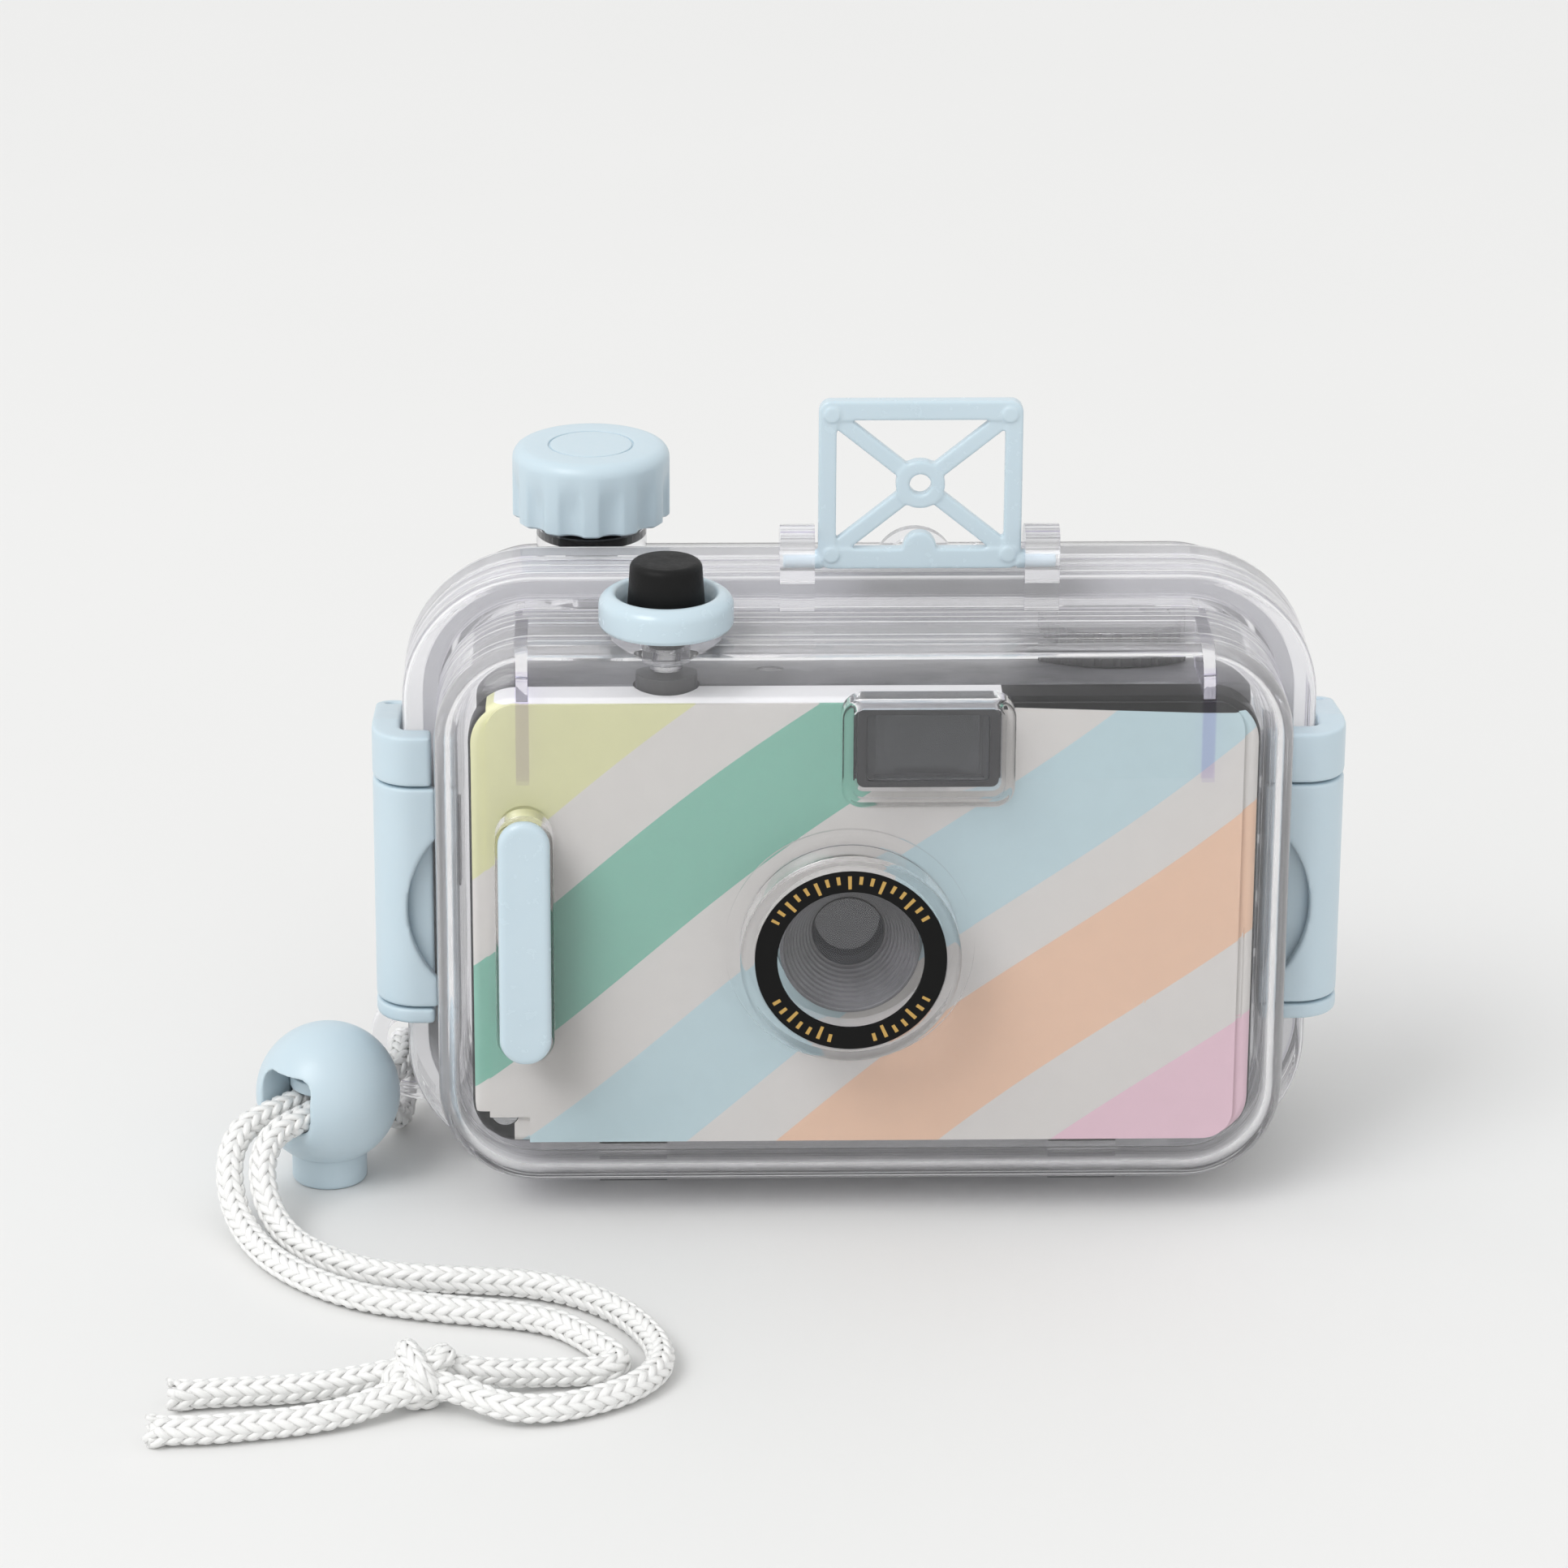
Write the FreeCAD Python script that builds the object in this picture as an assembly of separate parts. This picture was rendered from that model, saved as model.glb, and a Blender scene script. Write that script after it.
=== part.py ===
# Underwater camera: a reusable film camera inside a clear two-part housing.
# Millimetres, +Z up, +X to the right of someone who looks into the lens, -Y towards them.
# The origin is the middle of the housing's underside. "Depth" is measured forwards from
# the rear plane of the housing's rim, and y_at() turns a depth into a Y coordinate.
import FreeCAD, Part
import math
import os

os.makedirs("parts", exist_ok=True)
Vector = FreeCAD.Vector

# Clearances
running = 0.08          # radial play of a shaft in its bore
gap = 0.3               # between pieces that move past each other or lie side by side

# Housing shells
rim_width = 120.0
rim_height = 83.6
rim_corner = 17.5
rim_margin = 4.5        # how far the rim stands out round both bodies
rear_rim = 4.6          # thickness of the rear shell's rim
front_rim = 8.1         # thickness of the front shell's rim
front_reach = 32.4      # depth of the flat front face
rear_reach = 18.5       # how far the flat back lies behind the rim's rear plane
wall = 2.0
edge_round = 5.7        # rounding of the front and back edges
rim_round = 1.1
gasket_inset = 2.6      # from the rim's edge to the gasket
gasket_width = 2.0
gasket_depth = 2.4
rib_inset = 16.0        # locating ribs under the housing's top, from the rim's side
rib_width = 1.5
foot_x = 30.0           # low feet under the front body
foot_width = 9.0
foot_length = 5.6

# Lens port
lens_x = -1.9
lens_drop = 2.1         # lens axis below the housing's middle
port_base_diameter = 32.4
port_base_step = 0.5
port_diameter = 28.6
port_reach = 38.0
port_ledge = 1.3
window_diameter = 24.8
window_thickness = 1.5
ring_inner_diameter = 19.0
ring_thickness = 0.6

# Finder window of the housing
finder_x = 7.9
finder_drop = 16.4      # middle of the finder below the rim's top
finder_width = 22.2
finder_height = 14.8
finder_corner = 2.7
finder_rise = 3.2
finder_wall = 1.7
finder_recess = 0.8
eyepiece_rise = 1.2

# Finger grip on the front
grip_inset = 16.1       # middle of the grip from the rim's side
grip_drop = 0.3         # and below the housing's middle
grip_length = 33.8
grip_width = 6.8
grip_rise = 2.9
grip_rim = 0.4
grip_bar_thickness = 1.5

# Wind knob
knob_inset = 24.8       # the knob's axis from the rim's side
knob_depth = -9.9
knob_diameter = 20.9
knob_height = 9.9
knob_bottom_gap = 0.8   # knob above the rim's top
knob_round = 3.0
lobe_count = 12
flute_radius = 1.9
flute_depth = 0.65
cap_diameter = 10.9
cap_thickness = 1.2
boss_diameter = 14.7
shaft_diameter = 5.0
shaft_tip_diameter = 2.8
seal_height = 2.6

# Gears between the knob and the film
tooth_module = 0.7
wheel_teeth = 34
pinion_teeth = 10
gear_width = 3.6
gear_drop = 8.1         # middle of the gears below the camera's top
gear_floor = 3.0        # from the gears down to the camera body's top

# Shutter button
button_right = 9.7      # the button's axis, right of the knob's
button_back = 9.0       # and behind the flat front face
button_boss_diameter = 14.4
button_boss_height = 1.5
collar_diameter = 17.4
collar_inner_diameter = 11.4
collar_height = 4.5
boot_diameter = 10.0
boot_top_diameter = 9.3
boot_height = 5.8
boot_lift = 2.9         # boot above the boss at rest
boot_wall = 1.6
neck_diameter = 6.2
neck_height = 2.0
plunger_diameter = 2.6

# Folding sight frame
sight_x = 7.5
sight_width = 26.4
sight_rise = 23.6       # top of the frame above the rim's top
sight_depth = 12.0
sight_lift = 1.9        # hinge pin above the rim's top
sight_thickness = 2.0
side_bar = 2.3
top_bar = 2.6
bottom_bar = 2.7
arm_width = 2.1
eye_diameter = 6.4
eye_hole_diameter = 2.8
sight_pin_diameter = 2.5
ear_width = 4.5
ear_radius = 4.6
tab_radius = 2.2

# Latches
latch_stand = 4.1       # how far the latches stand out from the rim
latch_clear = 1.75      # the latch's lower end above the lug
latch_top_drop = 20.9   # the latch's upper end below the rim's top
latch_round = 5.4       # rounding of the latch's outer front corner
lever_round = 5.6
lug_span_height = 14.0  # the rear shell's ear between the latch's barrels
block_height = 6.9
foot_height = 2.1
latch_web = 1.45
latch_lip = 3.8         # how far the lips reach over the rim's front
lever_wall = 1.9
lever_overhang = 0.4
latch_fall = 2.7        # how far the latch's top falls towards its hinge
notch_depth = 3.8
notch_height = 19.8
notch_drop = 1.6        # middle of the notch below the lever's middle
hinge_radius = 2.2
pin_radius = 0.8
lever_hinge_depth = 4.4

# Inner camera
camera_side_gap = 2.5   # between the camera and the housing's walls
camera_low_gap = 4.1
camera_top_gap = 4.6
camera_front_gap = 1.2
camera_back = -7.0
camera_corner = 6.0
cover_depth = 5.0
door_thickness = 1.4
camera_wall = 1.5
panel_thickness = 0.5
panel_inset = 2.2       # from the camera's sides
panel_drop = 0.35       # from its top and bottom
cone_diameter = 18.2
cone_mouth_diameter = 17.2
cone_rise = 4.0         # the cone's mouth in front of the camera
cone_sink = 3.6         # and its foot behind the front
shutter_room_width = 31.0
shutter_room_corner = 8.0
shutter_room_depth = 5.6
lens_diameter = 9.4
film_gate_width = 36.0
film_gate_height = 24.0
film_width = 35.0
spool_chamber_radius = 9.5
spool_core_radius = 5.0
spool_flange_radius = 8.0
sprocket_right = 11.3   # the sprocket's axis, right of the knob's
sprocket_depth = 1.8
sprocket_radius = 4.0
sprocket_width = 1.4
cassette_inset = 26.8   # the cassette's axis from the rim's side
cassette_depth = 7.4
cassette_radius = 12.7
rewind_diameter = 19.4
rewind_height = 2.6
rewind_shaft_diameter = 4.4
door_hinge_diameter = 2.6
door_knuckle = 6.0      # length of one hinge knuckle
finder_frame_rise = 0.6 # the finder's mask in front of the flat front face
finder_frame_height = 10.6
finder_lens_radius = 24.0
aperture_diameter = 2.8
blade_thickness = 0.3
blade_x = 7.0           # the blade's pivot, from the lens axis
blade_z = -8.0
dial_shift = 1.25       # right of the middle between the wheel and the finder
dial_depth = 12.0
dial_radius = 6.0
screw_head_diameter = 3.6

# Cord and cord lock
cord_diameter = 3.8
cord_ground_gap = 0.1
lug_stand = 5.4         # how far the lug stands out from the rim
lug_band = 2.2          # width of the lug's outer side
lug_strip = 1.6         # height of the strip that the cord goes round
lug_thickness = 3.0
lug_low = 5.0
lug_high = 20.4
ball_x = -70.66
ball_depth = 16.4
ball_diameter = 19.2
ball_lift = 2.6         # ball above the ground, standing on its plunger
ball_turn = 41.6        # the hole faces forwards and this much to the left
ball_facet = 8.1        # from the ball's middle to the flats round the hole
lock_hole_width = 8.7
lock_hole_height = 7.7
lock_hole_rise = 1.15   # middle of the hole above the ball's middle
lock_plunger_diameter = 10.0
lock_bore_gap = 0.2
lock_travel = 3.0
lock_bridge = 1.8       # bar of the plunger that holds the cord down
cord_spacing = 4.1      # between the two strands in the lock
spring_wire = 0.5
knot_x = -56.4
knot_depth = 84.4
knot_width = 12.6
knot_length = 12.4
knot_height = 8.8

# Worked out from the sizes above
rim_front = rear_rim + gap + front_rim
latch_reach = rim_width / 2 + latch_stand
latch_low = lug_high + latch_clear
latch_high = rim_height - latch_top_drop
lug_reach = rim_width / 2 + lug_stand
knob_x = knob_inset - rim_width / 2
button_x = knob_x + button_right
button_depth = front_reach - button_back
sprocket_x = knob_x + sprocket_right
cassette_x = rim_width / 2 - cassette_inset
grip_x = grip_inset - rim_width / 2
grip_z = rim_height / 2 - grip_drop
lens_z = rim_height / 2 - lens_drop
finder_z = rim_height - finder_drop
rib_x = rim_width / 2 - rib_inset
sight_top = rim_height + sight_rise
camera_width = rim_width - 2 * (rim_margin + wall + camera_side_gap)
camera_low = rim_margin + wall + camera_low_gap
camera_high = rim_height - rim_margin - wall - camera_top_gap
camera_front = front_reach - wall - camera_front_gap
panel_width = camera_width - 2 * panel_inset
panel_height = camera_high - camera_low - 2 * panel_drop
cone_front = camera_front + cone_rise
cone_back = camera_front - cone_sink
finder_frame_front = front_reach + finder_frame_rise
gear_z = camera_high - gear_drop
body_top_z = gear_z - gear_width / 2 - gear_floor
body_width = rim_width - 2 * rim_margin
body_height = rim_height - 2 * rim_margin
body_corner = rim_corner - rim_margin
body_top = rim_height - rim_margin
inner_top = body_top - wall
middle_z = rim_height / 2
rim_rear_y = (port_reach - rear_reach - eyepiece_rise) / 2
knob_bottom = rim_height + knob_bottom_gap
boss_top = knob_bottom - seal_height / 2
film_slot = film_width / 2 + 0.7
wheel_radius = tooth_module * wheel_teeth / 2
pinion_radius = tooth_module * pinion_teeth / 2
spool_depth = knob_depth + wheel_radius + pinion_radius
dial_x = (knob_x + wheel_radius + finder_x - finder_width / 2) / 2 + dial_shift
boss_face = body_top + button_boss_height
boot_low = boss_face + boot_lift
boot_high = boot_low + boot_height
camera_button_top = camera_high + 1.8
sight_z = rim_height + sight_lift
ear_gap = 0.45
pin_reach = ear_gap + ear_width - 0.4
block_low = latch_high - block_height
foot_high = latch_low + foot_height
lever_low = foot_high + gap
lever_high = block_low - gap
latch_inner = rim_width / 2 + gap
latch_front = rim_front + gap
latch_pin_x = latch_reach - hinge_radius - 0.1
latch_pin_depth = -hinge_radius - 0.4
lever_pin_x = latch_reach - hinge_radius + 0.35
ball_z = ball_lift + ball_diameter / 2
ball_top = ball_lift + ball_diameter
cord_low_z = cord_diameter / 2 + cord_ground_gap
lock_hole_z = ball_z + lock_hole_rise
lock_cord_z = lock_hole_z - lock_hole_height / 2 + cord_diameter / 2 + 0.05
bridge_low = lock_cord_z + cord_diameter / 2 + 0.1
bridge_high = bridge_low + lock_bridge
ball_turn_sine = math.sin(math.radians(ball_turn))
ball_turn_cosine = math.cos(math.radians(ball_turn))


def y_at(depth):
    return rim_rear_y - depth


def point(x, depth, z):
    return Vector(x, y_at(depth), z)


def box(left, right, back, front, low, high):
    return Part.makeBox(right - left, front - back, high - low, point(left, front, low))


def rod_up(x, depth, radius, low, high):
    return Part.makeCylinder(radius, high - low, point(x, depth, low))


def rod_forward(x, z, radius, back, front):
    return Part.makeCylinder(radius, front - back, point(x, back, z), Vector(0, -1, 0))


def rod_across(left, right, depth, z, radius):
    return Part.makeCylinder(radius, right - left, point(left, depth, z), Vector(1, 0, 0))


def rounded_outline(x, z, width, height, corner, depth):
    left, right = x - width / 2, x + width / 2
    low, high = z - height / 2, z + height / 2
    corner = min(corner, 0.49 * width, 0.49 * height)
    cut = corner * (1 - math.sqrt(0.5))
    edges = [
        Part.LineSegment(point(left + corner, depth, low), point(right - corner, depth, low)),
        Part.Arc(point(right - corner, depth, low), point(right - cut, depth, low + cut),
                 point(right, depth, low + corner)),
        Part.LineSegment(point(right, depth, low + corner), point(right, depth, high - corner)),
        Part.Arc(point(right, depth, high - corner), point(right - cut, depth, high - cut),
                 point(right - corner, depth, high)),
        Part.LineSegment(point(right - corner, depth, high), point(left + corner, depth, high)),
        Part.Arc(point(left + corner, depth, high), point(left + cut, depth, high - cut),
                 point(left, depth, high - corner)),
        Part.LineSegment(point(left, depth, high - corner), point(left, depth, low + corner)),
        Part.Arc(point(left, depth, low + corner), point(left + cut, depth, low + cut),
                 point(left + corner, depth, low)),
    ]
    return Part.Wire([edge.toShape() for edge in edges])


def slab(x, z, width, height, corner, back, front):
    # A plate with rounded corners that faces forwards.
    outline = rounded_outline(x, z, width, height, corner, back)
    return Part.Face(outline).extrude(Vector(0, back - front, 0))


def polygon(points):
    return Part.Face(Part.makePolygon(points + [points[0]]))


def turned_up(x, depth, profile):
    # A solid of revolution about a vertical axis, from (radius, z) points.
    face = polygon([point(x, depth, 0) + Vector(radius, 0, z) for radius, z in profile])
    return face.revolve(point(x, depth, 0), Vector(0, 0, 1), 360)


def turned_forward(x, z, profile):
    # A solid of revolution about an axis that points forwards, from (radius, depth) points.
    face = polygon([point(x + radius, depth, z) for radius, depth in profile])
    return face.revolve(point(x, 0, z), Vector(0, 1, 0), 360)


def rounded(solid, radius, chosen):
    # Rounds the edges for which chosen(edge) is true.
    return solid.makeFillet(radius, [edge for edge in solid.Edges if chosen(edge)])


def at_depth(depth):
    return lambda edge: all(abs(v.Y - y_at(depth)) < 0.001 for v in edge.Vertexes)


def at_height(z):
    return lambda edge: all(abs(v.Z - z) < 0.001 for v in edge.Vertexes)


def upright_at(x):
    # Vertical edges in the plane of this X.
    return lambda edge: (all(abs(v.X - x) < 0.001 for v in edge.Vertexes)
                         and abs(edge.BoundBox.XLength) < 0.001 and edge.BoundBox.YLength < 0.001)


def mirrored(shape):
    return shape.mirror(Vector(0, 0, 0), Vector(1, 0, 0))


def rim_slab(inset, back, front):
    return slab(0, middle_z, rim_width - 2 * inset, rim_height - 2 * inset, rim_corner - inset,
                back, front)


def body_slab(inset, back, front):
    return slab(0, middle_z, body_width - 2 * inset, body_height - 2 * inset,
                body_corner - inset, back, front)


def shell_walls(seam, face, rim_back, rim_face, rounded_rim):
    # One half of the housing: a deep tray with a rim round its mouth.
    back, front = min(seam, face), max(seam, face)
    outer = rounded(body_slab(0, back, front), edge_round, at_depth(face))
    rim = rounded(rim_slab(0, rim_back, rim_face), rim_round, at_depth(rounded_rim))
    inward = wall if face > seam else -wall
    hollow_back = min(seam - inward, face - inward)
    hollow_front = max(seam - inward, face - inward)
    hollow = rounded(body_slab(wall, hollow_back, hollow_front), edge_round - wall,
                     at_depth(face - inward))
    return outer.fuse(rim), hollow


def stadium(x, z, width, length, back, front):
    # An upright bar with round ends.
    half = length / 2 - width / 2
    bar = slab(x, z, width, 2 * half, 0.001, back, front)
    for end in (z - half, z + half):
        bar = bar.fuse(rod_forward(x, end, width / 2, back, front))
    return bar.removeSplitter()


def port_bore():
    seat_back = port_reach - ring_thickness - window_thickness - 0.2
    seat = rod_forward(lens_x, lens_z, window_diameter / 2 + 0.1, seat_back, port_reach + 1)
    throat_radius = window_diameter / 2 - port_ledge
    throat = rod_forward(lens_x, lens_z, throat_radius, front_reach - wall - 1, port_reach)
    return seat.fuse(throat)


def front_shell():
    seam = rear_rim + gap
    outer, hollow = shell_walls(seam, front_reach, seam, rim_front, rim_front)
    base = rod_forward(lens_x, lens_z, port_base_diameter / 2, front_reach - wall / 2,
                       front_reach + port_base_step)
    tube = rounded(rod_forward(lens_x, lens_z, port_diameter / 2, front_reach - wall / 2,
                               port_reach), 0.7, at_depth(port_reach))
    finder_front = front_reach + finder_rise
    finder = rounded(slab(finder_x, finder_z, finder_width, finder_height, finder_corner,
                          front_reach - wall / 2, finder_front), 0.6, at_depth(finder_front))
    grip = rounded(stadium(grip_x, grip_z, grip_width + 2 * grip_rim, grip_length + 2 * grip_rim,
                           front_reach - wall / 2, front_reach + grip_rise), 0.5,
                   at_depth(front_reach + grip_rise))
    boss = rod_up(button_x, button_depth, button_boss_diameter / 2, inner_top + wall / 2,
                  boss_face)
    shell = outer.fuse([base, tube, finder, grip, boss])
    shell = shell.cut(hollow)
    shell = shell.cut(port_bore())
    shell = shell.cut(finder_cuts(finder_front))
    shell = shell.cut(stadium(grip_x, grip_z, grip_width - 1.4, grip_length - 1.4,
                              front_reach - wall - 1, front_reach + grip_rise - wall * 0.6))
    neck = rod_up(button_x, button_depth, neck_diameter / 2, inner_top - 1.2,
                  boss_face + neck_height)
    shell = shell.fuse([neck] + front_ribs() + sight_ears() + front_feet())
    groove = rim_slab(gasket_inset - 0.1, seam - 1, seam + gasket_depth - gap + 0.1).cut(
        rim_slab(gasket_inset + gasket_width + 0.1, seam - 2, seam + gasket_depth + 1))
    shell = shell.cut(groove)
    shell = shell.cut(rod_up(button_x, button_depth, plunger_diameter / 2 + running,
                             inner_top - 3, boss_face + neck_height + 1))
    shell = shell.cut(rod_up(button_x, button_depth, plunger_diameter / 2 + 1.1,
                             body_top - 1.2, body_top + 0.4))
    return shell.removeSplitter()


def finder_cuts(finder_front):
    inner_width = finder_width - 2 * finder_wall
    inner_height = finder_height - 2 * finder_wall
    recess = slab(finder_x, finder_z, inner_width + 0.8, inner_height + 0.8, finder_corner - 1.1,
                  finder_front - finder_recess, finder_front + 1)
    hollow = slab(finder_x, finder_z, inner_width, inner_height, finder_corner - 1.5,
                  front_reach - wall - 1, finder_front - finder_recess - 1.4)
    return recess.fuse(hollow)


def front_ribs():
    # Two ribs under the top that centre the camera.
    ribs = []
    for side in (-1, 1):
        low, high = camera_high + gap, inner_top + 0.2
        foot = polygon([point(side * rib_x - rib_width / 2, rim_front + 1, high),
                        point(side * rib_x - rib_width / 2, front_reach - wall + 0.2, high),
                        point(side * rib_x - rib_width / 2, front_reach - wall + 0.2, low),
                        point(side * rib_x - rib_width / 2, rim_front + 4, low)])
        ribs.append(foot.extrude(Vector(rib_width, 0, 0)))
    return ribs


def sight_ears():
    # Two clear straps that climb over the rim and carry the sight frame's pins.
    ears = []
    for side in (-1, 1):
        near = sight_x + side * (sight_width / 2 + ear_gap)
        left = min(near, near + side * ear_width)
        right = left + ear_width
        leg_front = rim_front + 1.6
        head = rod_across(left, right, sight_depth, sight_z, ear_radius)
        below = box(left, right, sight_depth - ear_radius, leg_front, rim_height - 0.5, sight_z)
        leg = box(left, right, rim_front - 0.5, leg_front, body_top, rim_height)
        ear = head.fuse([below, leg])
        ear = ear.cut(box(left - 1, right + 1, leg_front, leg_front + ear_radius,
                          body_top, sight_z + ear_radius + 1))
        ear = ear.cut(rod_across(left - 1, right + 1, sight_depth, sight_z,
                                 sight_pin_diameter / 2 + running))
        ears.append(ear)
    return ears


def front_feet():
    feet = []
    for side in (-1, 1):
        foot = box(side * foot_x - foot_width / 2, side * foot_x + foot_width / 2,
                   rim_front - 0.5, rim_front + foot_length, 0, rim_margin + 0.2)
        feet.append(foot)
    return feet


def rear_shell():
    outer, hollow = shell_walls(rear_rim, -rear_reach, 0, rear_rim, 0)
    back = -rear_reach
    lip = slab(finder_x, finder_z, finder_width, finder_height, finder_corner,
               back - eyepiece_rise, back + wall / 2)
    boss = rod_up(knob_x, knob_depth, boss_diameter / 2, inner_top - edge_round, boss_top)
    shell = outer.fuse([lip, boss]).cut(hollow)
    shell = shell.cut(slab(finder_x, finder_z, finder_width - 2 * finder_wall,
                           finder_height - 2 * finder_wall, finder_corner - 1.2,
                           back - eyepiece_rise - 1, back - eyepiece_rise + 0.8))
    bearing = rod_up(knob_x, knob_depth, shaft_diameter / 2 + 1.6, gear_z + gear_width / 2 + 2,
                     inner_top + 0.5)
    shell = shell.fuse([bearing, lug_plate(), pull_tab()] + latch_lugs())
    shell = shell.cut(rod_up(knob_x, knob_depth, shaft_diameter / 2 + running,
                             gear_z, boss_top + 1))
    shell = shell.cut(rod_up(knob_x, knob_depth, boss_diameter / 2 - 0.6,
                             boss_top - seal_height / 2, boss_top + 1))
    shell = shell.cut(lug_hole())
    return shell.removeSplitter()


def lug_plate():
    # The eye for the lanyard, at the rim's lower left corner.
    height = lug_high - lug_low
    width = lug_reach - body_width / 2 + 6
    plate = slab(-lug_reach + width / 2, lug_low + height / 2, width, height, 6.4,
                 0, lug_thickness)
    plate = rounded(plate, 0.5, at_depth(lug_thickness))
    return plate.cut(body_slab(wall, -1, lug_thickness + 1))


def lug_hole():
    low, high = lug_low + lug_strip, lug_high - 3.4
    left, right = -lug_reach + lug_band, -rim_width / 2 + 4.0
    hole = slab((left + right) / 2, (low + high) / 2, right - left, high - low, 2.6,
                -1, lug_thickness + 1)
    return hole.cut(rim_slab(0, -2, lug_thickness + 2))


def pull_tab():
    # A small half ring behind the rim's top, to pull the two shells apart.
    outer = rod_forward(sight_x, rim_height - 3.4, 5.4, -1.4, 0.5)
    inner = rod_forward(sight_x, rim_height - 3.4, 4.0, -2.4, 1.5)
    above = box(sight_x - 8, sight_x + 8, -3, 0, rim_height - 1.5, rim_height + 8)
    return outer.cut(inner).common(above).fuse(
        box(sight_x - 5.2, sight_x + 5.2, -1.4, 0.5, rim_height - 3.2, rim_height - 1.5))


def latch_lugs():
    # The ears on the rear rim that carry the latch pins.
    lugs = []
    low, high = lug_span()
    barrel = rod_up(latch_pin_x, latch_pin_depth, hinge_radius, low, high)
    bridge = box(rim_width / 2 - 3, latch_pin_x, latch_pin_depth - hinge_radius + 0.6, 0.5,
                 low, high).cut(box(rim_width / 2, latch_reach + 5, -0.2, 2, low - 1, high + 1))
    lug = barrel.fuse(bridge).cut(rod_up(latch_pin_x, latch_pin_depth, pin_radius,
                                         low - 1, high + 1))
    lugs.append(lug)
    lugs.append(mirrored(lug))
    return lugs


def lug_span():
    middle = (latch_low + latch_high) / 2
    return middle - lug_span_height / 2, middle + lug_span_height / 2


def shell_gasket():
    seam = rear_rim
    return rim_slab(gasket_inset, seam, seam + gasket_depth).cut(
        rim_slab(gasket_inset + gasket_width, seam - 1, seam + gasket_depth + 1))


def lens_port_window():
    back = port_reach - ring_thickness - window_thickness - 0.2
    return rod_forward(lens_x, lens_z, window_diameter / 2, back, back + window_thickness)


def lens_ring():
    back = port_reach - ring_thickness - 0.2
    ring = rod_forward(lens_x, lens_z, window_diameter / 2, back, back + ring_thickness)
    return ring.cut(rod_forward(lens_x, lens_z, ring_inner_diameter / 2, back - 1, port_reach))


def grip_bar():
    back = front_reach + grip_rise
    front = back + grip_bar_thickness
    bar = stadium(grip_x, grip_z, grip_width, grip_length, back, front)
    return rounded(bar, 0.9, at_depth(front))


def wind_knob():
    high = knob_bottom + knob_height
    radius = knob_diameter / 2
    knob = rounded(rod_up(knob_x, knob_depth, radius, knob_bottom, high), knob_round,
                   at_height(high))
    centre_radius = radius - flute_depth + flute_radius
    for index in range(lobe_count):
        angle = 2 * math.pi * (index + 0.5) / lobe_count
        knob = knob.cut(rod_up(knob_x + centre_radius * math.cos(angle),
                               knob_depth + centre_radius * math.sin(angle),
                               flute_radius, knob_bottom - 1, high + 1))
    knob = knob.cut(rod_up(knob_x, knob_depth, cap_diameter / 2 + 0.1, high - cap_thickness,
                           high + 1))
    knob = knob.cut(rod_up(knob_x, knob_depth, shaft_diameter / 2, knob_bottom - 1,
                           high - cap_thickness - 2.6))
    knob = knob.cut(rod_up(knob_x, knob_depth, 1.3, knob_bottom, high))
    return knob.cut(rod_up(knob_x, knob_depth, 2.6, high - cap_thickness - 1.4, high))


def wind_knob_cap():
    high = knob_bottom + knob_height
    cap = rod_up(knob_x, knob_depth, cap_diameter / 2, high - cap_thickness, high + 0.1)
    return rounded(cap, 0.3, at_height(high + 0.1))


def wind_screw():
    high = knob_bottom + knob_height - cap_thickness
    head = rod_up(knob_x, knob_depth, 2.5, high - 1.4, high - 0.1)
    shank = rod_up(knob_x, knob_depth, 1.2, screw_low(), high - 1.4)
    return head.fuse(shank)


def screw_low():
    return knob_bottom + knob_height - cap_thickness - 7.0


def wind_shaft():
    top = knob_bottom + knob_height - cap_thickness - 2.6
    step = gear_z + gear_width / 2
    shaft = rod_up(knob_x, knob_depth, shaft_diameter / 2, step, top)
    tip = rod_up(knob_x, knob_depth, shaft_tip_diameter / 2, gear_z - gear_width / 2 - 0.4, step)
    hole = rod_up(knob_x, knob_depth, 1.2, screw_low() - 0.2, top + 1)
    return shaft.fuse(tip).cut(hole)


def wind_seal():
    low = boss_top - seal_height / 2
    high = knob_bottom - gap
    radius = boss_diameter / 2 - 0.6
    return turned_up(knob_x, knob_depth, [(shaft_diameter / 2 + running, low), (radius, low),
                                          (radius, boss_top), (radius - 1.6, high),
                                          (shaft_diameter / 2 + running, high)])


def gear(x, depth, teeth, low, high, turn):
    # Straight-sided teeth with enough play to turn freely.
    pitch = tooth_module * teeth / 2
    root, tip = pitch - 1.2 * tooth_module, pitch + 0.85 * tooth_module
    step = 2 * math.pi / teeth
    corners = []
    for index in range(teeth):
        middle = turn + index * step
        for radius, share in ((root, -0.27), (tip, -0.10), (tip, 0.10), (root, 0.27)):
            angle = middle + share * step
            corners.append(Vector(x + radius * math.cos(angle),
                                  y_at(depth) + radius * math.sin(angle), low))
    return polygon(corners).extrude(Vector(0, 0, high - low))


def wind_pinion():
    low, high = gear_z - gear_width / 2, gear_z + gear_width / 2
    turn = -math.pi / 2 + math.pi / pinion_teeth
    pinion = gear(knob_x, knob_depth, pinion_teeth, low, high, turn)
    return pinion.cut(rod_up(knob_x, knob_depth, shaft_tip_diameter / 2, low - 1, high + 1))


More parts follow.
